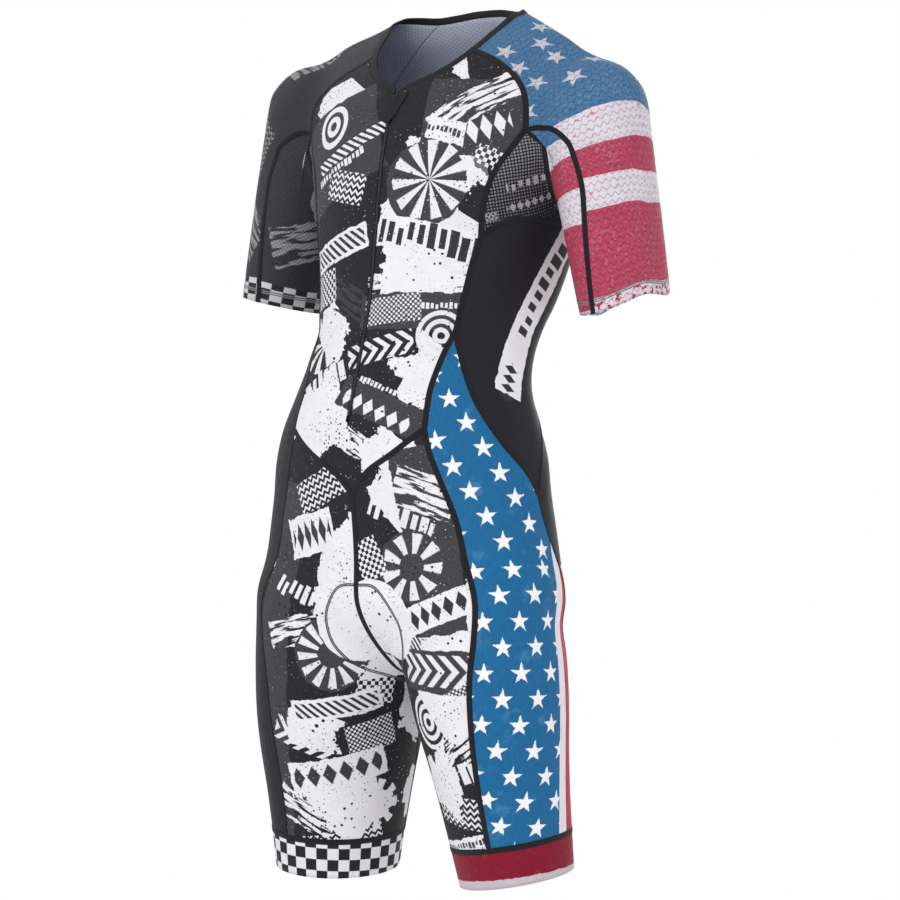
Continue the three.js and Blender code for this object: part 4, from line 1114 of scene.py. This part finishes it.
NEAR_LEG_PRINT = [
    ("box", "shards", 20, 0, 260, 480, -15, 58, 0.93, 1.5),
    ("box", "plain", 60, 120, 60, 200, 0, 0, 0.04, 3.0),
    ("box", "brush", 62, 170, 70, 42, -28, 6, 0.94, 2.5),
    ("box", "blocks", 30, 148, 78, 28, -30, 11, 0.9, 0.8),
    ("disc", "plain", 34, 96, 78, 0, 0, 0, 0.04, 2.5),
    ("disc", "rays", 34, 96, 72, 0, 0, 9, 0.9, 2.5),
    ("disc", "plain", 34, 96, 30, 0, 0, 0, 0.04, 1.5),
    ("box", "squares", -16, 112, 32, 44, 14, 8, 0.93, 1.2),
    ("box", "plain", 50, 44, 92, 30, 12, 0, 0.94, 2.0),
    ("box", "gems", 50, 44, 86, 26, 12, 15, 0.02, 0.8),
    ("box", "slants", 14, 16, 60, 18, -16, 8, 0.9, 1.0),
    ("box", "plain", 44, -18, 110, 46, -8, 0, 0.04, 2.5),
    ("box", "chevrons", 40, -16, 100, 34, -8, 17, 0.92, 1.5),
    ("box", "dots", 66, -50, 52, 26, 20, 5.5, 0.9, 1.2),
    ("disc", "rings", 18, -70, 60, 0, 0, 10, 0.92, 2.5),
    ("box", "brush", 56, -100, 76, 36, 30, 5, 0.94, 2.5),
    ("box", "blocks", 24, -132, 90, 26, 10, 12, 0.9, 0.8),
    ("box", "waves", 40, -170, 92, 34, -12, 9, 0.9, 1.5),
    ("box", "plain", 26, -206, 80, 16, 8, 0, 0.92, 2.5),
    ("box", "blocks", 26, -206, 76, 8, 8, 5, 0.04, 0.4),
    ("disc", "plain", -26, 44, 96, 0, 0, 0, 0.95, 1.4),
]
FAR_LEG_PRINT = [
    ("box", "shards", 0, 0, 260, 480, 40, 60, 0.93, 1.5),
    ("box", "plain", -70, -30, 44, 420, 0, 0, 0.04, 3.0),
    ("box", "waves", -18, 184, 84, 34, 32, 9, 0.92, 1.5),
    ("box", "plain", -34, 130, 70, 44, 22, 0, 0.94, 3.0),
    ("box", "gems", -34, 130, 62, 36, 22, 13, 0.03, 1.0),
    ("disc", "rings", 2, 92, 48, 0, 0, 10, 0.9, 2.0),
    ("box", "blocks", -34, 62, 76, 28, -14, 10, 0.93, 0.8),
    ("box", "brush", -40, 22, 70, 32, 20, 5, 0.94, 2.5),
    ("disc", "plain", 4, 0, 84, 0, 0, 0, 0.04, 2.5),
    ("disc", "rays", 4, 0, 78, 0, 0, 13, 0.92, 2.5),
    ("disc", "plain", 4, 0, 32, 0, 0, 0, 0.04, 1.5),
    ("box", "squares", 52, -38, 44, 44, -10, 9, 0.94, 1.2),
    ("box", "plain", 8, -60, 100, 24, 8, 0, 0.94, 2.0),
    ("box", "slants", 8, -60, 92, 16, 8, 9, 0.03, 0.6),
    ("box", "chevrons", -32, -96, 70, 28, -18, 14, 0.9, 1.5),
    ("box", "dots", 44, -96, 54, 36, 10, 5.5, 0.92, 1.5),
    ("box", "plain", 6, -134, 110, 34, 10, 0, 0.92, 2.5),
    ("box", "gems", 6, -134, 100, 28, 10, 18, 0.03, 0.8),
    ("disc", "rays", 46, -176, 58, 0, 0, 9, 0.92, 2.5),
    ("box", "brush", -34, -180, 72, 34, -26, 5, 0.94, 2.5),
    ("box", "waves", 8, -212, 90, 18, 6, 8, 0.92, 1.5),
    ("box", "blocks", 0, -156, 96, 8, 8, 5, 0.93, 0.4),
    ("disc", "plain", 36, 40, 96, 0, 0, 0, 0.95, 1.4),
]
SIDE_PRINT = [
    ("box", "plain", 12, 4, 35, 204, -26.5, 0, 0.92, 2.2),
    ("box", "blocks", 26, 32, 124, 22, 63.5, 15, 0.02, 0.8),
    ("box", "gems", -28, -74, 52, 22, 63.5, 12, 0.02, 0.8),
]
FAR_SLEEVE_PRINT = [
    ("box", "brush", -10, 60, 90, 60, 30, 6, 0.8, 2.5),
    ("disc", "rays", -60, 10, 70, 0, 0, 9, 0.8, 2.5),
    ("box", "chevrons", -50, -56, 84, 34, 14, 13, 0.75, 1.5),
    ("box", "waves", 30, -20, 70, 60, -20, 9, 0.75, 1.5),
    ("disc", "rings", -30, -116, 64, 0, 0, 11, 0.8, 2.5),
    ("box", "brush", 40, -110, 80, 50, -34, 6, 0.8, 2.5),
]
FAR_UNDER_PRINT = [
    ("disc", "rings", -10, 34, 64, 0, 0, 11, 0.8, 2.5),
    ("box", "brush", -40, -20, 70, 44, 24, 6, 0.8, 2.5),
    ("box", "chevrons", 24, -26, 60, 34, -14, 12, 0.75, 1.5),
]

# White stars over the blue side panel: a regular field below a height and another above it
STAR_STEPS_BELOW = ((20, -27), (-20, -27))
STAR_ORIGIN_BELOW = (1, -100)
STAR_STEPS_ABOVE = ((16, -27), (-17, -45))
STAR_ORIGIN_ABOVE = (6, 83)
STAR_FIELDS_MEET = 22
STAR_RADIUS = 11.4
BLUE_BACK_EDGE = 57
WHITE_STRIP = 16
# The sleeve's star places, where its blue ends and the lower edges of its stripes, in mm
SLEEVE_STARS = [
    (-26, 125), (-31, 100), (-10, 67), (-45, 50), (-74, 82), (-71, 114), (-107, 55), (-62, 143),
    (14, 108), (34, 78), (22, 36), (58, 52), (62, 96), (-4, 148), (88, 22), (40, 132), (-90, 148),
]
SLEEVE_BLUE_ABOVE = 3
SLEEVE_BLUE_SLOPE = -0.13
SLEEVE_STRIPES = (-28, -61, -93)
CHECK_WIDE = 14
CHECK_TALL = 12.5
CUFF_CHECKS_TOP = -169
UNDER_CUFF_CHECKS_TOP = -71
GRIPPER_CHECK = 12.7
GRIPPER_STRIP_BELOW = -272


def dyed(graph, colour, other, size=2.4):
    """The colour of knitted yarn, a little uneven from stitch to stitch."""
    return graph.colour(graph.noise(size, 4.0, 2.0, 2.5), colour, other)


def printed_look(name, rows):
    graph = Graph(name)
    tone = graph.print_tone(rows)
    light = dyed(graph, WHITE, (0.66, 0.65, 0.685))
    dark = dyed(graph, INK, (0.022, 0.021, 0.025))
    colour = graph.colour(tone, dark, light)
    return graph.finish(colour, graph.ribs(), 0.12)


def plain_look(name, colour, other, rows=(), print_colour=WHITE):
    graph = Graph(name)
    tone = 0.0
    if rows:
        graph.torn = graph.noise(11, 6.0, 2.3)
        for row in rows:
            tone = graph.over(tone, graph.shape(row), row[8])
    base = dyed(graph, colour, other)
    return graph.finish(graph.colour(tone, base, print_colour) if rows else base, graph.ribs(), 0.12)


def inside_look():
    """The paler back of the cloth, a fine mesh of small upright holes, with painted shade in the holes."""
    graph = Graph("back_of_knit")
    cloth = graph.holes(6.5, 4.5, 0.8, long=0.55)
    ground = dyed(graph, BACK_OF_KNIT, (0.3, 0.33, 0.42))
    # Painted shade: the holes take a darker copy of the ground colour.
    colour = graph.colour(cloth, (0.1, 0.11, 0.14), ground)
    return graph.finish(colour, cloth * 0.8 + graph.ribs() * 0.5, 0.2, 0.7)


def gusset_look(name, way):
    """Black mesh with pale dots that fade out from the top of its front edge, two rows of blocks, and
    near-black painted shade in its holes.
    """
    graph = Graph(name)
    across = graph.u * way
    du, dv = graph.staggered(graph.u, graph.v, 4.8, 4.8)
    radius = 1.15 - (across + 100) * 0.0085 + graph.v * 0.004
    dots = graph.inside(graph.length(du, dv) - radius, 0.25)
    u, v = graph.u, graph.v
    graph.u = across
    graph.torn = graph.noise(11, 6.0, 2.3)
    blocks = graph.shape(("box", "blocks", -60, 12, 62, 12, 48, 9, 1, 0.4))
    gems = graph.shape(("box", "gems", -48, -6, 60, 11, 48, 9, 1, 0.4))
    tag = graph.shape(("box", "squares", -77, -45, 14, 10, 48, 5, 1, 0.2))
    graph.u, graph.v = u, v
    holes = graph.holes(3.2, 3.2, 0.5)
    dark = dyed(graph, (0.009, 0.009, 0.012), (0.022, 0.021, 0.027))
    colour = graph.colour(dots * 0.5, dark, (0.46, 0.45, 0.49))
    for amount in (blocks, gems, tag):
        colour = graph.colour(amount * 0.6, colour, (0.5, 0.49, 0.53))
    # Painted shade: the holes of the mesh are near black.
    colour = graph.colour(holes, (0.004, 0.004, 0.005), colour)
    return graph.finish(colour, holes + graph.ribs() * 0.4, 0.22)


def star_field(graph):
    """Stars of both fields, each kept whole where the fields meet."""
    found = 0.0
    fields = (
        (STAR_ORIGIN_BELOW, STAR_STEPS_BELOW, 1),
        (STAR_ORIGIN_ABOVE, STAR_STEPS_ABOVE, -1),
    )
    bend = (graph.v + 90) * (graph.v + 90) * 0.00053
    for (x, y), steps, way in fields:
        du, dv = graph.lattice(graph.u + bend * (way > 0) - x, graph.v - y, *steps)
        middle = graph.v - dv - STAR_FIELDS_MEET
        shown = graph.inside(middle * way, 0.5)
        torn = (graph.noise(5, 4.0, 8.0) - 0.5) * 3.4
        star = graph.inside(graph.star(du, dv, STAR_RADIUS) + torn, 0.35)
        found = graph.math("MAXIMUM", found, star * shown)
    return found


def starred_side_look():
    """Blue with white stars, then a white strip and a red one along the back seam."""
    graph = Graph("starred_leg_side")
    wander = (graph.noise(26, 3.0, 4.0) - 0.5) * 3
    worn = graph.flecks(3.0, 0.3, 7.0)
    stars = star_field(graph) * (1 - worn * 0.35)
    blue = dyed(graph, BLUE, (0.012, 0.135, 0.3), 3)
    bleached = graph.above(graph.noise(30, 5.0, 12.0), 0.62, 0.05)
    blue = graph.colour(bleached * 0.35, blue, (0.08, 0.24, 0.4))
    colour = graph.colour(stars, blue, WHITE)
    edge = graph.u + wander - BLUE_BACK_EDGE
    low = graph.inside(graph.v - 60, 0.5)
    strip = dyed(graph, WHITE, (0.55, 0.5, 0.52))
    colour = graph.colour(graph.above(edge, 0, 0.3) * low, colour, strip)
    red = dyed(graph, (0.4, 0.02, 0.05), (0.3, 0.015, 0.04))
    colour = graph.colour(graph.above(edge, WHITE_STRIP, 0.3) * low, colour, red)
    return graph.finish(colour, graph.ribs(), 0.12)


def wavy_lines(graph, period=8.3, pitch=7.2):
    """Rows of pressed wavy lines, each half a wave behind the next."""
    row = graph.cell(graph.v, pitch)
    swing = graph.math("SINE", (graph.u + row * (period / 2)) * (2 * math.pi / period)) * 1.7
    off = abs((graph.share(graph.v, pitch) - 0.5) * pitch + swing)
    return graph.inside(off - 0.55, 0.35)


def flag_sleeve_look(name, hem_top):
    """A field of stars over red and white stripes, embossed with wavy lines that carry painted shade,
    white below the hem.
    """
    graph = Graph(name)
    wander = (graph.noise(28, 3.0, 5.0) - 0.5) * 4
    v = graph.v + wander
    first, second, third = (graph.inside(v - edge, 0.4) for edge in SLEEVE_STRIPES)
    band = first - second + third
    white = dyed(graph, (0.66, 0.61, 0.67), (0.56, 0.5, 0.56), 3)
    red = dyed(graph, RED, (0.42, 0.06, 0.11), 3)
    streaks = graph.flecks(3.4, 0.42, 15.0)
    red = graph.colour(streaks * 0.22, red, (0.5, 0.3, 0.36))
    stained = graph.above(graph.noise(9, 6.0, 19.0), 0.62, 0.02)
    white = graph.colour(stained * 0.6, white, (0.42, 0.09, 0.14))
    colour = graph.colour(band, white, red)
    blue = dyed(graph, SLEEVE_BLUE, (0.06, 0.16, 0.3), 3)
    blue = graph.colour(streaks * 0.4, blue, (0.15, 0.24, 0.34))
    torn = (graph.noise(5, 4.0, 8.0) - 0.5) * 3
    star = graph.inside(graph.star(*graph.from_nearest(SLEEVE_STARS), 12.5) + torn, 0.4)
    blue = graph.colour(star * (1 - streaks * 0.3), blue, (0.5, 0.48, 0.53))
    field = graph.above(v - graph.u * SLEEVE_BLUE_SLOPE, SLEEVE_BLUE_ABOVE, 0.4)
    colour = graph.colour(field, colour, blue)
    hem = graph.inside(graph.v - hem_top, 0.4)
    splash = graph.above(graph.noise(7, 5.0, 25.0), 0.55, 0.015)
    cuff = graph.colour(splash, white, (0.36, 0.04, 0.08))
    colour = graph.colour(hem, colour, cuff)
    lines = wavy_lines(graph)
    # Painted shade: the pressed wavy lines are darkened in the colour, as if shaded in their grooves.
    colour = graph.colour(lines * 0.36, colour, (0.03, 0.02, 0.03))
    return graph.finish(colour, graph.ribs() * 0.6 - lines, 0.5)


def dark_sleeve_look(name, rows, checks_top):
    """Charcoal honeycomb knit with its sunken cells darkened as painted shade, a faint print, and checks
    below the cuff's top stitch.
    """
    graph = Graph(name)
    graph.torn = graph.noise(11, 6.0, 2.3)
    tone = 0.0
    for row in rows:
        tone = graph.over(tone, graph.shape(row), row[8])
    du, dv = graph.staggered(graph.u, graph.v, 5.2, 4.4)
    cells = graph.inside(graph.length(du, dv) - 1.35, 0.4)
    dark = dyed(graph, (0.022, 0.0215, 0.027), (0.05, 0.048, 0.058))
    colour = graph.colour(tone * 0.8, dark, (0.42, 0.41, 0.44))
    # Painted shade: the sunken honeycomb cells are darkened in the colour.
    colour = graph.colour(cells * 0.5, colour, (0.012, 0.012, 0.015))
    below = graph.inside(graph.v - checks_top, 0.3)
    squares = graph.checks(graph.u, graph.v - checks_top, CHECK_WIDE, CHECK_TALL)
    checked = graph.colour(squares, (0.018, 0.018, 0.02), (0.5, 0.49, 0.52))
    colour = graph.colour(below, colour, checked)
    return graph.finish(colour, graph.ribs() * 0.6 - cells, 0.3)


def gripper_bands(graph):
    """Fine upright ribs of the elastic and its raised dots."""
    ribs = graph.math("SINE", graph.u * (2 * math.pi / 2.2)) * 0.3
    du, dv = graph.staggered(graph.u, graph.v, 6.4, 5.2)
    return ribs + graph.inside(graph.length(du, dv) - 0.9, 0.4) * 0.5


def red_gripper_look():
    graph = Graph("red_gripper")
    red = dyed(graph, GRIPPER_RED, (0.2, 0.006, 0.022), 3)
    lighter = graph.above(graph.noise(10, 5.0, 6.0), 0.6, 0.02)
    red = graph.colour(lighter * 0.15, red, (0.3, 0.06, 0.1))
    hem = graph.inside(graph.v + (graph.noise(12, 4.0, 8.0) - 0.5) * 5 - GRIPPER_STRIP_BELOW, 0.4)
    white = dyed(graph, (0.5, 0.46, 0.49), (0.4, 0.34, 0.38))
    return graph.finish(graph.colour(hem, red, white), gripper_bands(graph), 0.22)


def checked_gripper_look():
    graph = Graph("checked_gripper")
    squares = graph.checks(graph.u, graph.v, GRIPPER_CHECK, GRIPPER_CHECK)
    white = dyed(graph, WHITE, (0.52, 0.51, 0.54))
    black = dyed(graph, INK, (0.02, 0.02, 0.023))
    worn = graph.flecks(2.6, 0.27, 11.0)
    colour = graph.colour(squares, black, white)
    colour = graph.colour(worn * 0.5, colour, (0.05, 0.05, 0.055))
    return graph.finish(colour, gripper_bands(graph), 0.22)


def flag_back_look():
    """The back of the near leg: charcoal over the seat, then red and white stripes down the leg."""
    graph = Graph("red_leg_back")
    wander = (graph.noise(24, 4.0, 5.0) - 0.5) * 6
    band = graph.above(graph.share(graph.u + wander + 12, 66), 0.5, 0.01)
    red = dyed(graph, (0.4, 0.022, 0.052), (0.3, 0.015, 0.04))
    white = dyed(graph, WHITE, (0.53, 0.49, 0.52))
    worn = graph.flecks(3.2, 0.3, 9.0)
    colour = graph.colour(band, red, white)
    colour = graph.colour(worn * 0.45, colour, (0.2, 0.05, 0.08))
    seat = graph.above(graph.v + wander * 3, 62, 0.5)
    colour = graph.colour(seat, colour, dyed(graph, CHARCOAL, (0.019, 0.018, 0.024)))
    return graph.finish(colour, graph.ribs(), 0.12)


def woven_look(name, colour, other, pitch=0.9):
    """Woven tape or rubbery binding, laid out in the suit's own space."""
    graph = Graph(name, flat=False)
    weave = graph.math("SINE", (graph.u + graph.v) * (2 * math.pi / pitch)) * 0.25
    return graph.finish(dyed(graph, colour, other, 1.6), weave + graph.noise(0.7, 2.0, 4.0), 0.1, 0.65)


def seam_look():
    """The covering threads of a flat seam: fine slanted stitches across the band."""
    graph = Graph("flat_seam")
    slant = graph.math("PINGPONG", graph.u, 0.8) * 1.4
    stitch = graph.math("SINE", (graph.v + slant) * (2 * math.pi / 1.1))
    edge = graph.inside(abs(graph.v - 1.2) - 1.1, 0.3)
    threads = stitch * 0.5 + 0.5
    colour = graph.colour(threads * 0.5 + edge * 0.15, BLACK, (0.022, 0.022, 0.027))
    return graph.finish(colour, threads, 0.25, 0.6)


def thread_look(name, colour, other):
    """A line of sewing: stitches 2.6 mm long with a short gap between them, the gap painted as shade in a
    darker copy of the thread colour.
    """
    graph = Graph(name)
    gap = graph.above(abs(graph.share(graph.u, 2.6) - 0.5), 0.38, 0.04)
    twist = graph.math("SINE", (graph.u + graph.v * 2) * (2 * math.pi / 0.5)) * 0.3
    # Painted shade: the gaps take the thread colour at four tenths of its brightness.
    tone = graph.colour(gap, dyed(graph, colour, other, 1), tuple(part * 0.4 for part in colour))
    return graph.finish(tone, twist - gap, 0.25, 0.5, specular=0.35)


def coil_look():
    graph = Graph("nylon_coil", flat=False)
    colour = graph.colour(graph.noise(1.2, 3.0, 1.0), (0.012, 0.012, 0.014), (0.035, 0.035, 0.04))
    return graph.finish(colour, graph.noise(0.4, 2.0, 3.0), 0.05, 0.4, specular=0.5)


def metal_look():
    graph = Graph("dark_metal", flat=False)
    worn = graph.above(graph.noise(1.4, 4.0, 5.0), 0.62, 0.05)
    colour = graph.colour(worn, GUNMETAL, (0.14, 0.14, 0.15))
    graph.shader.inputs["Metallic"].default_value = 0.85
    return graph.finish(colour, graph.noise(0.8, 3.0, 2.0), 0.06, 0.38, sheen=0.0, specular=0.5)


def floor_look():
    graph = Graph("floor", flat=False)
    colour = graph.colour(graph.noise(900, 3.0, 2.0), (0.78, 0.78, 0.78), (0.84, 0.84, 0.84))
    return graph.finish(colour, graph.noise(6, 3.0, 1.0), 0.02, 0.8, sheen=0.0)


def panel_looks():
    """The outside of each panel."""
    blue_lit = (0.014, 0.0135, 0.019)
    looks = {
        "front_body": printed_look("printed_front", FRONT_PRINT),
        "leg_front_left": printed_look("printed_leg_left", NEAR_LEG_PRINT),
        "leg_front_right": printed_look("printed_leg_right", FAR_LEG_PRINT),
        "side_left": plain_look("printed_side", CHARCOAL, blue_lit, SIDE_PRINT),
        "gusset_left": gusset_look("gusset_mesh_left", 1),
        "gusset_right": gusset_look("gusset_mesh_right", -1),
        "sleeve_left": flag_sleeve_look("flag_sleeve", -176),
        "under_sleeve_left": flag_sleeve_look("flag_under_sleeve", -173),
        "sleeve_right": dark_sleeve_look("dark_sleeve", FAR_SLEEVE_PRINT, CUFF_CHECKS_TOP),
        "under_sleeve_right": dark_sleeve_look(
            "dark_under_sleeve", FAR_UNDER_PRINT, UNDER_CUFF_CHECKS_TOP),
        "leg_side_left": starred_side_look(),
        "leg_back_left": flag_back_look(),
        "gripper_left": red_gripper_look(),
        "gripper_right": checked_gripper_look(),
    }
    plain = plain_look("charcoal_knit", CHARCOAL, blue_lit)
    return {name: looks.get(name, plain) for name in PANELS}


def studio():
    """Camera, a pale plain floor, a white surround and soft lights."""
    turn = math.radians(CAMERA_TURN)
    data = bpy.data.cameras.new("camera")
    data.lens = CAMERA_LENS_MM
    data.shift_x = CAMERA_SHIFT
    camera = bpy.data.objects.new("camera", data)
    bpy.context.collection.objects.link(camera)
    camera.location = (math.sin(turn) * CAMERA_DISTANCE, -math.cos(turn) * CAMERA_DISTANCE, CAMERA_HEIGHT)
    camera.rotation_euler = (math.pi / 2, 0, turn)
    bpy.context.scene.camera = camera
    half = FLOOR_SIDE / 2
    corners = [(-half, -half), (half, -half), (half, half), (-half, half)]
    floor = new_object("floor", np.array([(x, y, FLOOR_HEIGHT) for x, y in corners]), [(0, 1, 2, 3)])
    floor.data.materials.append(floor_look())
    world = bpy.data.worlds.new("surround")
    world.use_nodes = True
    world.node_tree.nodes["Background"].inputs["Color"].default_value = (1, 1, 1, 1)
    world.node_tree.nodes["Background"].inputs["Strength"].default_value = SKY
    bpy.context.scene.world = world
    bpy.context.scene.view_settings.view_transform = "Standard"
    for name, (side, distance, height, size, power) in LIGHTS.items():
        place = math.radians(side)
        light = bpy.data.lights.new(name, "AREA")
        light.size = size
        light.energy = power
        lamp = bpy.data.objects.new(name, light)
        bpy.context.collection.objects.link(lamp)
        lamp.location = (math.sin(place) * distance, -math.cos(place) * distance, CAMERA_HEIGHT + height)
        aim = Vector((0, 0, CAMERA_HEIGHT)) - lamp.location
        lamp.rotation_euler = aim.to_track_quat("-Z", "Y").to_euler()


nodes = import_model()["nodes"]
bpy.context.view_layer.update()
studio()
panels = all_panels()
looks = panel_looks()
back = inside_look()
for panel in panels:
    panel.build(looks[panel.name], back)
seam_bands(panels, seam_look())
cuff_stitches(panels, thread_look("cuff_thread", (0.3, 0.28, 0.3), (0.2, 0.19, 0.21)))
pad_line(panels, thread_look("pad_thread", THREAD_GREY, (0.09, 0.095, 0.11)))
zip_teeth(coil_look())
binding = woven_look("woven_binding", BLACK, (0.02, 0.02, 0.023))
for soft in ("neck_binding", "zip_garage"):
    rounded(soft, binding)
hard = {
    "zip_tape_left": woven_look("woven_tape", BLACK, (0.018, 0.018, 0.021), 0.7),
    "zip_slider": metal_look(),
}
hard["zip_tape_right"] = hard["zip_tape_left"]
hard["zip_tab"] = hard["zip_slider"]
for name, look in hard.items():
    nodes[name].data.materials.clear()
    nodes[name].data.materials.append(look)
for panel in panels:
    panel.declare_cut()
